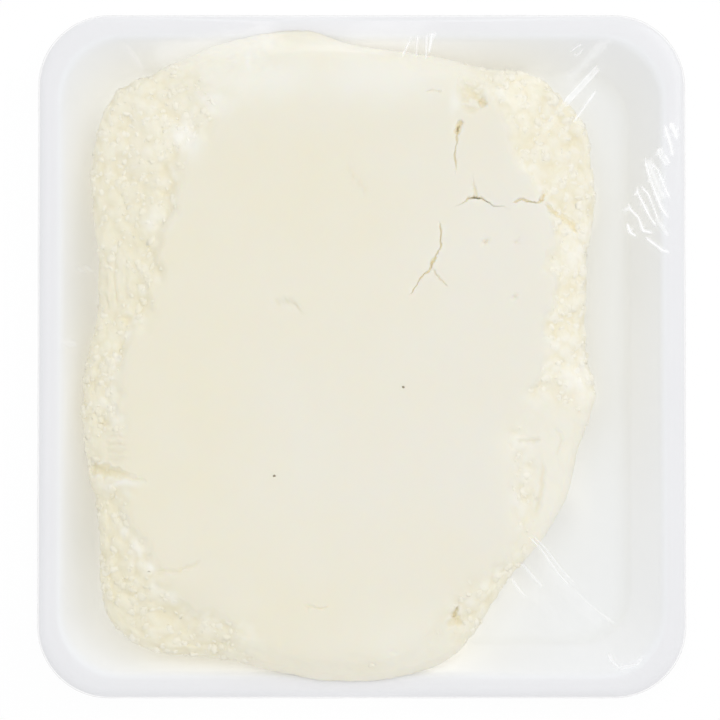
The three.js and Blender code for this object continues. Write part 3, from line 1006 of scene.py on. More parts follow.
@dataclass
class CheeseSlab:
    """The slab: flat underneath, crumbly round the edge, pressed flat on top, and cracked."""

    tray: FoamTray
    base: float = 5.0
    top: float = 22.8
    edge: Outline = field(
        default_factory=lambda: Outline(
            [
                [-13, 68], [-2, 64.5], [12, 62.5], [24.5, 60], [36, 58.5], [42.5, 53], [47, 47], [48, 39.5],
                [49, 31], [47.5, 23], [47, 11.5], [47.5, -1], [49, -7.5], [47.5, -12.5], [44.5, -20.5],
                [42.5, -29], [38, -37], [30.5, -47], [26, -54], [18.5, -62.5], [8, -66.5], [-4.5, -67.5],
                [-15, -66], [-28.5, -63], [-44, -61.5], [-52, -55], [-54.5, -46.5], [-54.5, -36],
                [-56.5, -25], [-58.5, -11.5], [-57, 1], [-55, 9.5], [-55, 23], [-56.5, 33.5], [-55.5, 44.5],
                [-52, 54.5], [-42, 59.5], [-28.5, 65],
            ]
        )
    )
    pressed: Outline = field(
        default_factory=lambda: Outline(
            [
                [-13, 61.5], [4, 60], [17.5, 57], [28.5, 53], [33, 40.5], [36.5, 25], [39, 11.5], [38, -1],
                [33, -14.5], [30, -25], [30.5, -36], [26.5, -45], [18.5, -51.5], [8, -61.5], [-4.5, -63],
                [-19, -60], [-33.5, -52], [-44, -45], [-47, -30], [-49.5, -11.5], [-45.5, 6.5], [-40, 24],
                [-37, 39.5], [-28.5, 52], [-21.5, 57],
            ]
        )
    )
    smooth_edges: tuple[tuple[float, float], ...] = ((94, 28), (268, 22), (328, 20))
    stations: int = 768
    band_rings: int = 32
    wave: float = 0.15
    foot_inset: float = 2.6
    bulge: float = 0.3
    shoulder_drop: float = 1.9
    band_drop: float = 0.25
    round_off: float = 1.1
    pressing: float = 0.2
    pale_patches: tuple[Spot, ...] = (
        Spot((-14, -22), (16, 15), 0.35),
        Spot((27, 22), (13, 14), 0.35),
        Spot((24, -22), (12, 16), 0.2),
        Spot((-12, 34), (20, 17), -0.4),
        Spot((-33, -5), (7, 22), -0.25),
        Spot((0, -54), (25, 8), -0.2),
        Spot((-54, -22), (11, 38), -0.35),
        Spot((-46, 45), (8, 9), 0.35),
        Spot((-53, -8), (5, 9), 0.3),
        Spot((45, 39), (5, 8), 0.35),
    )
    crack_reaches: tuple[float, ...] = (1.6, 0.8, 0.35)
    turn: float = 5.0

    def pressed_height(self, x: Field, y: Field) -> Field:
        """Height of the pressed flat top, which waves a little."""
        return self.top + self.wave * np.sin(x / 17 + 0.6) * np.cos(y / 23 - 0.4)

    def tent_height(self, angle: Field, radius: Field) -> Field:
        """Height of the stretched film's underside: flat on the cheese, then straight to the rim.

        Args:
            angle: Directions from the middle.
            radius: Distances from the middle.

        Returns:
            One height for each place.
        """
        crease = self.pressed.radius(angle)
        rim = self.tray.radius(angle, 0.0)
        reach = np.minimum(radius, crease)
        flat = self.pressed_height(reach * np.cos(angle), reach * np.sin(angle))
        past = self.round_off * np.logaddexp(0, (radius - crease) / self.round_off)
        return flat + (self.tray.rim - flat) * np.minimum(past / (rim - crease), 1)

    def crumbliness(self, angle: Field) -> Field:
        """Tells how crumbly the edge is in each direction: 1 where rough, less where pressed smooth."""
        least = np.ones_like(angle)
        for middle, half in self.smooth_edges:
            away = np.abs((np.degrees(angle) - middle + 540) % 360 - 180)
            least = np.minimum(least, 0.2 + 0.8 * smooth(away, half - 8, half + 8))
        return least

    def _room_in_tray(self, angle: Field, height: Field) -> Field:
        """Finds how far out the slab may reach at each height without touching the tray."""
        heights, insets = np.array(ROOM_IN_TRAY).T
        return self.tray.radius(angle, np.interp(height - self.tray.lift, heights, insets))

    def _profile(self, angle: Field) -> list[Points]:
        """Draws the slab's side and band, ring by ring from the foot to the edge of the flat top."""
        edge = self.edge.radius(angle)
        inner = self.pressed.radius(angle)
        shoulder = self.tent_height(angle, edge) - self.shoulder_drop
        rise = shoulder - self.base
        turn_in = edge - 1.5
        corners = [
            (edge - self.foot_inset - 1.4, self.base + 0 * rise),
            (edge - self.foot_inset, self.base + 0.5 + 0 * rise),
            (edge - 0.5 * self.foot_inset, self.base + 0.35 * rise),
            (edge + self.bulge - 0.2, self.base + 0.75 * rise),
            (edge + self.bulge - 0.2, shoulder),
            (edge - 0.35, shoulder + 0.95),
            (turn_in, self.tent_height(angle, turn_in) - self.band_drop),
        ]
        chain = np.array(corners)
        spans = [1, 5, 6, 4, 2, 2]
        rings = []
        padded = [chain[0], *chain, chain[-1]]
        for p0, p1, p2, p3, steps in zip(padded, padded[1:], padded[2:], padded[3:], spans):
            for t in np.arange(steps) / steps:
                leave, reach = (p2 - p0) / 2, (p3 - p1) / 2
                rings.append(
                    p1
                    + leave * t
                    + (3 * (p2 - p1) - 2 * leave - reach) * t**2
                    + (2 * (p1 - p2) + leave + reach) * t**3
                )
        for share in np.arange(self.band_rings) / self.band_rings:
            radius = turn_in + (inner - turn_in) * share
            drop = self.band_drop * smooth(radius - inner, 0.0, 2.5)
            rings.append(np.array([radius, self.tent_height(angle, radius) - drop]))
        rings = [(np.minimum(r, self._room_in_tray(angle, z)), z) for r, z in rings]
        return [np.stack([r * np.cos(angle), r * np.sin(angle), z], 1) for r, z in rings]

    def _top_ring(self, share: float, count: int) -> Points:
        """Makes a ring of the flat top, from 0 in the middle to 1 at its edge."""
        angle = np.arange(count) / count * TURN
        radius = self.pressed.radius(angle) * share
        x, y = radius * np.cos(angle), radius * np.sin(angle)
        return np.stack([x, y, self.tent_height(angle, radius)], 1)

    def _blank(self) -> bpy.types.Mesh:
        """Makes the slab before its relief, in rings from the middle of its underside up."""
        skin = Skin()
        angle = np.arange(self.stations) / self.stations * TURN
        foot = self._profile(angle)[0]
        skin.ring(np.array([[0.0, 0.0, self.base]]))
        for share, step in ((0.25, 8), (0.5, 8), (0.7, 4), (0.85, 2), (0.94, 1)):
            skin.ring(foot[::step] * [share, share, 1])
        for ring in self._profile(angle):
            skin.ring(ring)
        for share in np.linspace(1, 0.97, 3):
            skin.ring(self._top_ring(share, self.stations))
        for share in np.linspace(0.95, 0.52, 22):
            skin.ring(self._top_ring(share, self.stations // 2))
        for share in np.linspace(0.5, 0.26, 12):
            skin.ring(self._top_ring(share, self.stations // 4))
        for share in np.linspace(0.24, 0.04, 8):
            skin.ring(self._top_ring(share, self.stations // 8))
        skin.ring(np.array([[0.0, 0.0, self.pressed_height(0.0, 0.0)]]))
        return skin.mesh("cheese_slab")

    @staticmethod
    def _detail_gap(points: Points) -> Field:
        """Measures how far each place is from the nearest crack or hollow."""
        gap = np.full(len(points), np.inf)
        for crack in CRACKS:
            gap = np.minimum(gap, along_path(points, crack.path)[0] - min(crack.width / 2, FINE_HALF))
        for hollow in HOLLOWS:
            if max(hollow.size) < SMALL_HOLLOW:
                away = np.linalg.norm((points[:, :2] - hollow.at), axis=1) - max(hollow.size)
                gap = np.minimum(gap, away + 0.9)
        return np.where(points[:, 2] < 12, np.inf, np.maximum(gap, 0))

    def _roughness(self, points: Points, angle: Field, ragged: Field) -> Field:
        """Tells how crumbly each place is.

        Args:
            points: Places on the slab.
            angle: Their directions from the middle.
            ragged: How far each lies outside the pressed top's ragged edge.

        Returns:
            0 where the slab was pressed flat, up to 1 where it crumbles.
        """
        rough = self.crumbliness(angle) * smooth(ragged, -1.2, 2.0)
        for patch in CRUMBLY_PATCHES:
            rough = np.maximum(rough, patch.depth * patch.cover(points))
        for patch in SMOOTH_PATCHES:
            rough *= 1 - patch.depth * patch.cover(points)
        return rough * smooth(points[:, 2], self.base, self.base + 2)

    def _curd_relief(self, points: Points, warp: Points) -> tuple[Field, Field, Field]:
        """Packs curds of several sizes together.

        Args:
            points: Places on the slab.
            warp: Waves that make the curds ragged.

        Returns:
            How deep each place lies, how freshly broken it is and how much painted shade its gap gets.
        """
        depth = np.full(len(points), -self.pressing)
        fresh, gap = np.zeros((2, len(points)))
        for layer in CURD_LAYERS:
            hole, own = curds(points + layer.ragged * warp, layer.size, layer.seed)
            depth += layer.depth * hole
            fresh += layer.depth * (0.5 - hole) * own
            gap += layer.shade_and_stain * smooth(hole - 0.4 * own, 0.22, 0.55)
        return np.maximum(depth, 0), fresh, gap

    @staticmethod
    def _marks(points: Points, upper: Field) -> tuple[Field, Field, Field]:
        """Draws the cracks, creases and scars with jagged edges.

        Args:
            points: Places on the slab.
            upper: 1 on the slab's top, 0 on its side.

        Returns:
            How deep each place is cut, how much painted shade and stain it gets and how much it is
            whitened.
        """
        jag = [0.3 * ripple(points, 1.3, seed) + 0.15 * ripple(points, 0.5, seed) for seed in (2.2, 5.7)]
        jagged = points[:, :2] + np.stack(jag, 1)
        uneven = 1 + 0.6 * ripple(points, 1.1, 4.4)
        broken = 0.5 + 0.5 * ripple(points, 1.7, 9.9)
        drop, shade_and_stain, fringe = np.zeros((3, len(points)))
        for mark in CRACKS + SCARS:
            away, share = along_path(jagged, mark.path)
            start, end = mark.fade
            ends = smooth(share, -0.02, start) * smooth(1 - share, -0.02, end)
            half = mark.width / 2 * (0.35 + 0.65 * ends) * uneven
            cut = mark.depth * (0.15 + 0.85 * ends) * np.clip(1 - away / half, 0, 1) ** 0.6
            strength = min(mark.depth, 1) * ends
            drop += (cut + 0.1 * strength * np.exp(-((away / (half + 0.5)) ** 2))) * upper
            shade_and_stain = np.maximum(shade_and_stain, mark.shade_and_stain * smooth(cut, 0.1, 0.9 * mark.depth) * upper)
            beside = np.exp(-(((away - half - 0.35) / 0.45) ** 2)) * strength
            fringe = np.maximum(fringe, 0.5 * mark.shade_and_stain * beside * broken)
        return drop, shade_and_stain, fringe

    def _way_out(self, points: Points, angle: Field) -> Points:
        """Points out of the slab, turning slowly over its edge so that deep relief doesn't fold there.

        Args:
            points: Places on the slab.
            angle: Their directions from the middle.

        Returns:
            One direction for each place.
        """
        edge = self.edge.radius(angle)
        shoulder = self.tent_height(angle, edge) - self.shoulder_drop
        inside = edge - np.hypot(points[:, 0], points[:, 1])
        up = 0.5 * smooth(points[:, 2] - shoulder, -self.turn, 0) + 0.5 * smooth(inside, 0, self.turn)
        way = np.stack([(1 - up) * np.cos(angle), (1 - up) * np.sin(angle), up], 1)
        return way / np.linalg.norm(way, axis=1, keepdims=True)

    def _carve(self, mesh: bpy.types.Mesh) -> None:
        """Cuts the relief into the blank: curds, dents and lumps, then cracks.

        Args:
            mesh: The blank, which is changed.
        """
        points, normals = places(mesh), outward(mesh)
        angle = np.arctan2(points[:, 1], points[:, 0])
        upper = smooth(normals[:, 2], 0.2, 0.7)
        warp = np.stack([ripple(points, 3.1, seed) for seed in (3.3, 7.9, 12.7)], 1)
        ragged = np.hypot(points[:, 0], points[:, 1]) - self.pressed.radius(angle)
        ragged += 3.0 * ripple(points, 8.0, 5.1) + 2.0 * ripple(points, 2.6, 6.1)
        rough = self._roughness(points, angle, ragged)
        depth, fresh, gap = self._curd_relief(points, warp)
        depth *= rough * (0.75 + 0.25 * ripple(points, 9.0, 2.2))
        paint(mesh, "room", depth * MM)
        for hollow in HOLLOWS:
            depth += hollow.depth * hollow.cover(points) * upper
        for lump in LUMPS:
            depth -= lump.depth * lump.cover(points) * upper * rough
        drop, shade_and_stain, white = self._marks(points, upper)
        reshape(mesh, points - self._way_out(points, angle) * np.maximum(depth + drop, 0)[:, None])
        # The gap value paints shade between the curds and in the cuts, with some stain.
        gap = np.maximum(gap * rough, shade_and_stain)
        for patch in WHITE_PATCHES:
            cover = patch.depth * patch.cover(points + warp)
            white = np.maximum(white, cover)
            gap *= 1 - 0.7 * cover
        pale = 0.35 + 0.45 * smooth(points[:, 0], -45, 45) + 0.15 * ripple(points, 24.0, 1.9)
        for patch in self.pale_patches:
            pale += patch.depth * patch.cover(points)
        fresh += 0.5 * np.exp(-(((ragged - 1.5) / 3.0) ** 2))
        fresh = 0.75 * rough * smooth(fresh, 0.1, 0.9)
        paint(mesh, "crumb", np.clip(rough, 0, 1))
        paint(mesh, "white", np.clip(np.maximum(white * upper, fresh), 0, 1))
        paint(mesh, "gap", np.clip(gap, 0, 1))
        paint(mesh, "pale", np.clip(pale, 0, 1))

    def build(self, finish: CheeseFinish) -> bpy.types.Object:
        """Makes the slab.

        Args:
            finish: The cheese's finish.

        Returns:
            The finished piece.
        """
        mesh = self._blank()
        refine(mesh, self._detail_gap, list(self.crack_reaches))
        self._carve(mesh)
        piece = finish_piece(mesh, finish.material())
        hand_over(piece, Node.CHEESE)
        return piece

    def specks(self, finish: SpeckFinish) -> bpy.types.Object:
        """Makes the tiny brown specks that sit in the flat top.

        Args:
            finish: Their finish.

        Returns:
            The finished piece.
        """
        mesh = bpy.data.meshes.new("brown_specks")
        work = bmesh.new()
        for number, (x, y) in enumerate(SPECKS):
            made = bmesh.ops.create_icosphere(work, subdivisions=3, radius=0.3)["verts"]
            shape = np.array([vertex.co for vertex in made])
            swell = 1 + 0.35 * ripple(shape + 10.0 * number, 0.25)
            height = self.pressed_height(x, y) + 0.02
            for vertex, grow in zip(made, swell):
                vertex.co = Vector((x, y, height)) + Vector(
                    (vertex.co.x * grow, 0.75 * vertex.co.y * grow, 0.2 * vertex.co.z * grow)
                )
        work.to_mesh(mesh)
        work.free()
        piece = finish_piece(mesh, finish.material())
        hand_over(piece, Node.CHEESE)
        return piece


@dataclass
class LooseCurds:
    """Crumbs of curd that fill the hollows of the crumbly edge."""

    density: float = 0.38
    smallest: float = 0.45
    largest: float = 1.25
    sunk: float = 0.41
    room: tuple[float, float] = (0.35, 0.8)
    per_room: float = 2.0
    least_stretch: tuple[float, float, float] = (0.6, 0.7, 0.4)
    most_stretch: tuple[float, float, float] = (1.3, 1.1, 0.65)
    tilt: float = 0.4
    whiteness: float = 0.3
    lumpiness: float = 0.6
    lump: float = 0.9
    segments: int = 8
    rings: int = 5
    seed: int = 11

    def _tree(self, material: bpy.types.Material) -> bpy.types.NodeTree:
        """Builds the node tree that scatters crumbs over a mesh with "room" and "crumb" painted on it.

        Args:
            material: What the crumbs are made of.

        Returns:
            The tree, whose inputs are sizes in metres.
        """
        tree = bpy.data.node_groups.new("loose_curds", "GeometryNodeTree")
        tree.interface.new_socket("Geometry", in_out="INPUT", socket_type="NodeSocketGeometry")
        for name in ("Density", "Smallest", "Largest", "Lumpiness", "Lump Size"):
            tree.interface.new_socket(name, in_out="INPUT", socket_type="NodeSocketFloat")
        tree.interface.new_socket("Seed", in_out="INPUT", socket_type="NodeSocketInt")
        tree.interface.new_socket("Geometry", in_out="OUTPUT", socket_type="NodeSocketGeometry")
        nodes = Nodes(tree)
        given = nodes.add("NodeGroupInput").outputs
        room = nodes.made("GeometryNodeInputNamedAttribute", data_type="FLOAT", Name="room")
        least, enough = (depth * MM for depth in self.room)
        likely = nodes.made("ShaderNodeMapRange", Value=room, From_Min=least, From_Max=enough)
        spread = nodes.add(
            "GeometryNodeDistributePointsOnFaces",
            Mesh=given["Geometry"],
            Density=nodes.reckon("MULTIPLY", likely, given["Density"]),
            Seed=given["Seed"],
        )
        size = nodes.made(
            "FunctionNodeRandomValue",
            data_type="FLOAT",
            Min=given["Smallest"],
            Max=given["Largest"],
            Seed=given["Seed"],
        )
        size = nodes.reckon("MINIMUM", size, nodes.reckon("MULTIPLY", room, self.per_room))
        sink = nodes.made(
            "ShaderNodeVectorMath",
            operation="SCALE",
            Vector=spread.outputs["Normal"],
            Scale=nodes.reckon("MULTIPLY", size, -self.sunk),
        )
        seated = nodes.made("GeometryNodeSetPosition", Geometry=spread.outputs["Points"], Offset=sink)
        shade = nodes.made(
            "FunctionNodeRandomValue", data_type="FLOAT", Min=0.0, Max=self.whiteness, Seed=5
        )
        below = nodes.made("GeometryNodeInputNamedAttribute", data_type="FLOAT", Name="white")
        shade = nodes.reckon("MAXIMUM", shade, below)
        for name, value in (("white", shade), ("gap", 0.0), ("crumb", 1.0)):
            seated = nodes.made(
                "GeometryNodeStoreNamedAttribute",
                data_type="FLOAT",
                Geometry=seated,
                Name=name,
                Value=value,
            )
        ball = nodes.made("GeometryNodeMeshUVSphere", Segments=self.segments, Rings=self.rings, Radius=1.0)
        stretch = nodes.made(
            "FunctionNodeRandomValue",
            data_type="FLOAT_VECTOR",
            Min=self.least_stretch,
            Max=self.most_stretch,
            Seed=8,
        )
        turn = nodes.made(
            "FunctionNodeRandomValue",
            data_type="FLOAT_VECTOR",
            Min=(-self.tilt, -self.tilt, 0),
            Max=(self.tilt, self.tilt, TURN),
            Seed=9,
        )
        turned = nodes.made(
            "FunctionNodeRotateRotation",
            rotation_space="LOCAL",
            Rotation=spread.outputs["Rotation"],
            Rotate_By=turn,
        )
        grow = nodes.made("ShaderNodeVectorMath", operation="SCALE", Vector=stretch, Scale=size)
        copies = nodes.made(
            "GeometryNodeInstanceOnPoints", Points=seated, Instance=ball, Rotation=turned, Scale=grow
        )
        solid = nodes.made("GeometryNodeRealizeInstances", Geometry=copies)
        noise = nodes.add(
            "ShaderNodeTexNoise",
            Vector=nodes.made("GeometryNodeInputPosition"),
            Scale=nodes.reckon("DIVIDE", 1.0, given["Lump Size"]),
            Detail=1.0,
        )
        centred = nodes.made("ShaderNodeVectorMath", operation="SUBTRACT", Vector=noise.outputs["Color"])
        centred.node.inputs[1].default_value = (0.5, 0.5, 0.5)
        lumpiness = given["Lumpiness"]
        push = nodes.made("ShaderNodeVectorMath", operation="SCALE", Vector=centred, Scale=lumpiness)
        lumpy = nodes.made("GeometryNodeSetPosition", Geometry=solid, Offset=push)
        even = nodes.made("GeometryNodeSetShadeSmooth", Geometry=lumpy)
        dressed = nodes.made("GeometryNodeSetMaterial", Geometry=even, Material=material)
        nodes.add("NodeGroupOutput", Geometry=dressed)
        return tree

    def build(self, slab: bpy.types.Object, finish: CheeseFinish) -> bpy.types.Object:
        """Scatters the crumbs over the slab's crumbly edge.

        Args:
            slab: The finished slab.
            finish: The crumbs' finish.

        Returns:
            The finished piece.
        """
        piece = bpy.data.objects.new("curd_crumbs", slab.data.copy())
        piece.data.name = "curd_crumbs"
        bpy.context.scene.collection.objects.link(piece)
        tree = self._tree(finish.material())
        scatterer = piece.modifiers.new("crumbs", "NODES")
        scatterer.node_group = tree
        sizes = {
            "Density": self.density / MM**2,
            "Smallest": self.smallest * MM,
            "Largest": self.largest * MM,
            "Lumpiness": self.lumpiness * 2 * MM,
            "Lump Size": self.lump * MM,
            "Seed": self.seed,
        }
        for name, value in sizes.items():
            scatterer[tree.interface.items_tree[name].identifier] = value
        flatten(piece)
        hand_over(piece, Node.CHEESE)
        return piece


@dataclass(frozen=True)
class Crease:
    """A fold or strain line in the film: its path, half width, height and how much it whitens, as strain
    whitening and as a painted highlight.
    """

    path: list[list[float]]
    width: float = 0.8
    height: float = 0.35
    milk_and_sheen: float = 0.6


# The narrow bright lines are strain whitening and painted highlights of the lamps in the creases; the broad
# faint bands are haze and painted reflections.
CREASES = [
    Crease([[49.5, 60.8], [42.4, 53.1], [40.8, 51.2]], 0.22, 0.02, 0.58),
    Crease([[50.1, 60.1], [43.1, 52.5], [41.4, 50.6]], 0.22, 0.02, 0.58),
    Crease([[49.8, 60.4], [42.8, 52.8], [41.1, 50.9]], 0.60, 0.0, 0.42),
    Crease([[42.0, 52.0], [39.5, 48.8], [37.0, 45.3]], 0.50, 0.0, 0.25),
    Crease([[49.0, 55.5], [45.5, 50.5], [43.4, 47.6]], 0.28, 0.02, 0.60),
    Crease([[52.3, 66.7], [49.8, 64.4], [44.4, 58.8], [41.1, 56.1]], 1.20, 0.0, 0.24),
    Crease([[43.0, 62.9], [44.4, 63.8], [45.9, 64.8]], 0.22, 0.02, 0.35),
    Crease([[43.6, 62.5], [44.8, 62.3], [46.1, 63.8]], 0.22, 0.02, 0.35),
    Crease([[62.7, 48.4], [63.1, 46.8], [63.9, 44.3], [64.7, 40.8]], 0.24, 0.03, 0.90),
    Crease([[63.9, 48.6], [64.7, 47.0], [65.6, 44.7]], 0.36, 0.03, 0.95),
    Crease([[61.4, 43.4], [61.6, 41.8], [62.7, 40.1], [63.9, 39.1]], 0.22, 0.03, 0.75),
    Crease([[62.9, 41.6], [63.9, 39.7]], 0.22, 0.03, 0.75),
    Crease([[61.7, 43.4], [63.0, 40.6], [63.8, 39.4]], 0.55, 0.02, 0.40),
    Crease([[58.7, 42.0], [58.9, 39.7], [59.8, 36.4], [62.2, 30.4], [64.3, 27.7]], 0.24, 0.03, 0.90),
    Crease([[59.3, 40.3], [61.4, 38.5], [62.7, 35.2], [64.3, 31.8]], 0.22, 0.03, 0.80),
    Crease([[58.9, 41.4], [60.2, 38.1], [61.6, 34.7], [63.1, 31.6]], 1.00, 0.0, 0.42),
    Crease([[57.1, 35.8], [57.1, 33.7], [59.8, 28.5], [61.0, 26.9], [62.0, 26.5]], 0.24, 0.03, 0.85),
    Crease([[57.3, 35.6], [59.3, 33.5], [60.6, 30.4], [61.6, 27.5]], 0.22, 0.03, 0.75),
    Crease([[54.8, 32.0], [55.6, 30.2], [57.3, 28.5], [58.3, 25.8], [61.0, 25.2]], 0.24, 0.03, 0.85),
    Crease([[54.8, 27.5], [55.6, 25.4], [57.1, 24.4]], 0.26, 0.03, 0.85),
    Crease([[58.3, 24.8], [60.0, 23.5], [62.2, 21.9], [64.3, 21.1]], 0.26, 0.03, 0.80),
    Crease([[60.6, 29.1], [62.2, 26.9], [63.9, 24.2]], 0.60, 0.02, 0.35),
    Crease([[33.8, -36.8], [36.9, -40.0], [40.6, -45.2], [43.9, -48.8]], 0.20, 0.03, 0.50),
    Crease([[34.6, -36.6], [37.8, -39.8], [41.6, -44.8], [45.0, -48.2]], 0.20, 0.03, 0.36),
    Crease([[42.8, -47.4], [46.1, -50.8], [49.6, -53.6], [53.2, -56.2]], 0.45, 0.02, 0.24),
    Crease([[32.6, -42.6], [35.0, -45.3], [37.6, -48.3]], 0.36, 0.03, 0.34),
    Crease([[30.6, -45.8], [32.4, -48.4], [34.0, -50.2]], 0.34, 0.03, 0.36),
    Crease([[36.0, -40.0], [43.0, -49.0], [51.0, -57.5]], 3.0, 0.0, 0.13),
    Crease([[33.0, -46.0], [38.0, -52.0], [44.0, -58.0]], 2.6, 0.0, 0.10),
    Crease([[50.6, -60.6], [51.8, -63.4], [53.4, -64.7], [56.6, -64.0], [59.0, -61.6]], 0.42, 0.03, 0.40),
    Crease([[10.6, 66.3], [8.1, 61.3]], 0.24, 0.02, 0.40),
    Crease([[11.7, 66.7], [11.2, 61.3]], 0.22, 0.02, 0.35),
    Crease([[13.5, 66.9], [13.3, 60.9]], 0.24, 0.02, 0.50),
    Crease([[14.6, 67.1], [13.9, 62.3]], 0.30, 0.02, 0.65),
    Crease([[15.2, 67.1], [14.8, 65.4]], 0.22, 0.02, 0.40),
    Crease([[-61.9, 3.6], [-60.3, 2.2], [-58.4, 2.8]], 0.6, 0.0, 0.22),
    Crease([[-58.6, 18.0], [-57.2, 17.2], [-56.0, 18.6]], 0.5, 0.0, 0.18),
    # A broad painted reflection on the film across the far end of the tray, at the left.
    Crease([[-46.0, 61.0], [-34.0, 63.5], [-16.0, 66.5]], 3.4, 0.0, 0.20),
    Crease([[-49.9, 65.4], [-44.9, 58.8]], 0.9, 0.0, 0.16),
]


@dataclass
class StretchFilm:
    """The clear film: over the cheese, straight down to the rim, round the tray and in underneath."""

    tray: FoamTray
    slab: CheeseSlab
    thickness: float = 0.05
    clearance: float = 0.12
    past_edge: float = 4.0
    rounding: float = 9.0
    stations: int = 512
    over_cheese: int = 10
    round_rings: int = 14
    to_rim: int = 14
    opening: float = 40.0
    # Whitening of the plain film on the cheese and past its edge: haze, and past the edge also painted fill
    # light that lifts the shade below.
    haze_and_painted_fill: tuple[float, float] = (0.012, 0.07)
    landing: float = 0.9
    wrap: tuple[tuple[float, float], ...] = (
        (0.5, 16.17), (0.15, 15.95), (-0.1, 15.5), (-0.17, 14.9), (-0.15, 14.3), (-0.1, 13.7),
        (1.1, 11.8), (2.6, 9.5), (4.2, 7.0), (5.8, 4.4), (7.2, 2.2), (8.4, 0.3), (9.4, -0.35), (10.8, -0.5),
        (14, -0.52), (18, -0.52), (24, -0.5), (30, -0.5), (36, -0.5),
    )
    reaches: tuple[float, ...] = (1.8, 0.9, 0.4)

    def _sheet(self) -> bpy.types.Mesh:
        """Makes the film before its creases, from its edge underneath up to the middle of the top."""
        skin = Skin()
        angle = np.arange(self.stations) / self.stations * TURN
        direction = np.stack([np.cos(angle), np.sin(angle)], 1)

        def level(radius: Field, height: Field) -> Points:
            """Makes a ring from radii and heights."""
            return np.column_stack([direction * radius[:, None], np.broadcast_to(height, radius.shape)])

        ragged = 3.0 * ripple(np.column_stack([direction * 60, 0 * angle]), 9.0, 1.3)
        skin.ring(level(self.tray.radius(angle, self.opening) + ragged, self.tray.lift - 0.5))
        for inset, height in reversed(self.wrap):
            skin.ring(level(self.tray.radius(angle, inset), self.tray.lift + height))
        crease = self.slab.pressed.radius(angle) + self.past_edge
        landing = self.tray.radius(angle, self.landing)
        for share in np.arange(self.to_rim, 0, -1) / self.to_rim:
            radius = crease + (landing - crease) * share
            skin.ring(level(radius, self.slab.tent_height(angle, radius) + self.clearance))
        rounding = crease - np.linspace(0, self.rounding, self.round_rings)[:-1, None]
        flat = (crease - self.rounding) * np.linspace(1, 1 / self.over_cheese, self.over_cheese)[:, None]
        for radius in [*rounding, *flat]:
            skin.ring(level(radius, self.slab.tent_height(angle, radius) + self.clearance))
        skin.ring(np.array([[0.0, 0.0, self.slab.pressed_height(0.0, 0.0) + self.clearance]]))
        return skin.mesh("stretch_film")

    @staticmethod
    def _crease_gap(points: Points) -> Field:
        """Measures how far each place is from the nearest crease."""
        gap = np.full(len(points), np.inf)
        for crease in CREASES:
            if crease.height > 0:
                gap = np.minimum(gap, along_path(points, crease.path)[0] - crease.width)
        return np.where(points[:, 2] < 14, np.inf, np.maximum(gap, 0))

    def _creased(self, points: Points, angle: Field) -> tuple[Field, Field]:
        """Draws the creases, whose whitening carries painted highlights, and the strained film between the
        slab and the rim, whose haze carries painted fill light.

        Args:
            points: Places on the film.
            angle: Their directions from the middle.

        Returns:
            How high each place is raised and how white it is, as haze, strain whitening, painted highlight
            and painted fill light.
        """
        upper = smooth(points[:, 2], 14, 16)
        radius = np.hypot(points[:, 0], points[:, 1])
        past_slab = smooth(radius - self.slab.edge.radius(angle), -2.5, 2.5)
        # Past the slab the film is whitened as haze and as painted fill light over the shaded gap.
        milk_and_sheen = self.haze_and_painted_fill[0] + (self.haze_and_painted_fill[1] - self.haze_and_painted_fill[0]) * past_slab
        milk_and_sheen *= upper * (1 + 0.25 * ripple(points, 13.0, 2.6))
        lift = 0.05 * (1 + ripple(points, 8.0, 4.1)) * past_slab * upper
        uneven = 1 + 0.3 * ripple(points, 2.0, 8.8)
        broken = 1 - ripple(points, 1.1, 6.6)
        for crease in CREASES:
            away, share = along_path(points, crease.path)
            ends = smooth(share, 0, 0.18) * smooth(1 - share, 0, 0.18)
            width = crease.width * (0.6 + 0.4 * ends) * uneven
            ridge = np.exp(-((away / width) ** 2)) * ends * upper
            lift += crease.height * ridge
            breaks = 0.2 * min(1, 0.5 / crease.width) * broken
            milk_and_sheen = np.maximum(milk_and_sheen, crease.milk_and_sheen * ridge * (1 - breaks))
        return lift, milk_and_sheen

    @staticmethod
    def _gathered(points: Points, angle: Field) -> tuple[Field, Field]:
        """Draws the gathers round the tray's corners and in under its base.

        Args:
            points: Places on the film.
            angle: Their directions from the middle.

        Returns:
            How high each place is raised and how milky it is.
        """
        corner = smooth(np.abs(np.sin(2 * angle)), 0.72, 0.98)
        around = np.column_stack([np.cos(angle), np.sin(angle), 0 * angle]) * 60
        gathers = ripple(around, 1.6, 9.4) * corner + 0.35 * ripple(around, 5.0, 3.4)
        outer = smooth(-points[:, 2], -15.5, -11) * smooth(points[:, 2], 0.4, 3.0)
        under = smooth(-points[:, 2], -0.9, -0.3)
        lift = outer * (0.12 + 0.22 * gathers) * smooth(-points[:, 2], -14.5, -11) + under * 0.1 * gathers
        return lift, 0.3 * smooth(np.abs(gathers), 0.35, 0.9) * corner * (outer + under)

    def _wrinkle(self, mesh: bpy.types.Mesh) -> None:
        """Raises the creases and the gathers at the corners.

        Args:
            mesh: The film's sheet, which is changed.
        """
        points = places(mesh)
        angle = np.arctan2(points[:, 1], points[:, 0])
        lift, milk_and_sheen = self._creased(points, angle)
        gather_lift, gather_milk = self._gathered(points, angle)
        lift += gather_lift
        reshape(mesh, points + outward(mesh) * lift[:, None])
        paint(mesh, "milk_and_sheen", np.clip(np.maximum(milk_and_sheen, gather_milk), 0, 1))

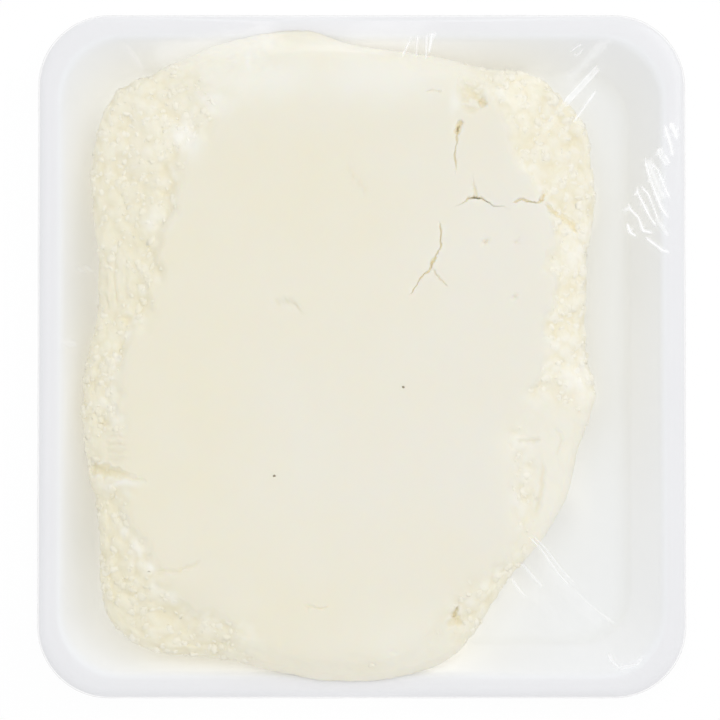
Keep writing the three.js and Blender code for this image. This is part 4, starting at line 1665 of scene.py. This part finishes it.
    def build(self, finish: FilmFinish) -> bpy.types.Object:
        """Makes the film.

        Args:
            finish: The film's finish.

        Returns:
            The finished piece.
        """
        mesh = self._sheet()
        refine(mesh, self._crease_gap, list(self.reaches))
        self._wrinkle(mesh)
        piece = finish_piece(mesh, finish.material())
        thicken = piece.modifiers.new("thickness", "SOLIDIFY")
        thicken.thickness = self.thickness * MM
        thicken.offset = 1.0
        flatten(piece)
        piece.visible_shadow = False
        piece.visible_diffuse = False
        hand_over(piece, Node.FILM)
        return piece


def flatten(piece: bpy.types.Object) -> None:
    """Turns a piece and its modifiers into a plain mesh.

    Args:
        piece: The piece, which keeps its name.
    """
    before = piece.data
    evaluated = piece.evaluated_get(bpy.context.evaluated_depsgraph_get())
    plain = bpy.data.meshes.new_from_object(evaluated)
    piece.modifiers.clear()
    piece.data = plain
    name = before.name
    bpy.data.meshes.remove(before)
    plain.name = name


@dataclass
class Studio:
    """A white sweep, soft lights and a camera straight above."""

    tray: FoamTray
    frame_width: float = 149.3
    aim: tuple[float, float] = (-0.36, -0.91)
    distance: float = 1000.0
    tilt: float = 2.0
    sensor: float = 36.0

    def floor(self, finish: FloorFinish) -> None:
        """Lays the white sweep under the pack."""
        mesh = bpy.data.meshes.new("sweep")
        half = 6.0
        corners = [(-half, -half, 0), (half, -half, 0), (half, half, 0), (-half, half, 0)]
        mesh.from_pydata(corners, [], [(0, 1, 2, 3)])
        mesh.materials.append(finish.material())
        sweep = bpy.data.objects.new("sweep", mesh)
        bpy.context.scene.collection.objects.link(sweep)

    @staticmethod
    def light(
        name: str,
        place: tuple[float, float, float],
        size: tuple[float, float],
        power: float,
        mirrored: bool = True,
    ) -> None:
        """Hangs a soft box that faces the pack.

        Args:
            name: The light's name.
            place: Where it hangs, in metres.
            size: Its width and height, in metres.
            power: Its power in watts.
            mirrored: Whether the film mirrors it.
        """
        data = bpy.data.lights.new(name, "AREA")
        data.shape = "RECTANGLE"
        data.size, data.size_y = size
        data.energy = power
        lamp = bpy.data.objects.new(name, data)
        lamp.location = place
        lamp.rotation_euler = (-Vector(place)).to_track_quat("-Z", "Y").to_euler()
        lamp.visible_glossy = mirrored
        bpy.context.scene.collection.objects.link(lamp)

    def lights(self) -> None:
        """Sets a soft top light, the key from the far right, a low strip at the back and an even fill."""
        self.light("top", (0.05, 0.08, 1.3), (1.0, 1.0), 3.4, mirrored=False)
        self.light("key", (0.75, 0.55, 0.95), (0.7, 0.7), 1.35)
        self.light("back_strip", (-0.1, 1.1, 0.55), (0.9, 0.22), 0.5)
        world = bpy.data.worlds.new("studio")
        world.use_nodes = True
        background = world.node_tree.nodes["Background"]
        background.inputs["Color"].default_value = (0.98, 0.99, 1.0, 1.0)
        background.inputs["Strength"].default_value = 0.705
        bpy.context.scene.world = world
        bpy.context.scene.view_settings.view_transform = "Standard"

    def camera(self) -> None:
        """Hangs the camera above the pack, tipped a little towards its near end."""
        data = bpy.data.cameras.new("above")
        data.sensor_width = self.sensor
        data.lens = self.sensor * self.distance / self.frame_width
        eye = bpy.data.objects.new("above", data)
        tilt = math.radians(self.tilt)
        aim = Vector((*self.aim, self.tray.rim)) * MM
        eye.location = aim + Vector((0, -math.sin(tilt), math.cos(tilt))) * self.distance * MM
        eye.rotation_euler = (tilt, 0, 0)
        bpy.context.scene.collection.objects.link(eye)
        bpy.context.scene.camera = eye


def main() -> None:
    """Builds the pack and its studio, piece by piece."""
    logging.basicConfig(level=logging.INFO, format="%(message)s")
    tray = FoamTray()
    slab = CheeseSlab(tray)
    film = StretchFilm(tray, slab)
    studio = Studio(tray)
    tray.build(FoamFinish(), slab)
    slab_piece = slab.build(CheeseFinish())
    LooseCurds().build(slab_piece, CheeseFinish(name="loose_curd", grain_depth=0.02, glow=0.0))
    slab.specks(SpeckFinish())
    film.build(FilmFinish())
    studio.floor(FloorFinish())
    studio.lights()
    studio.camera()


if __name__ == "__main__":
    main()
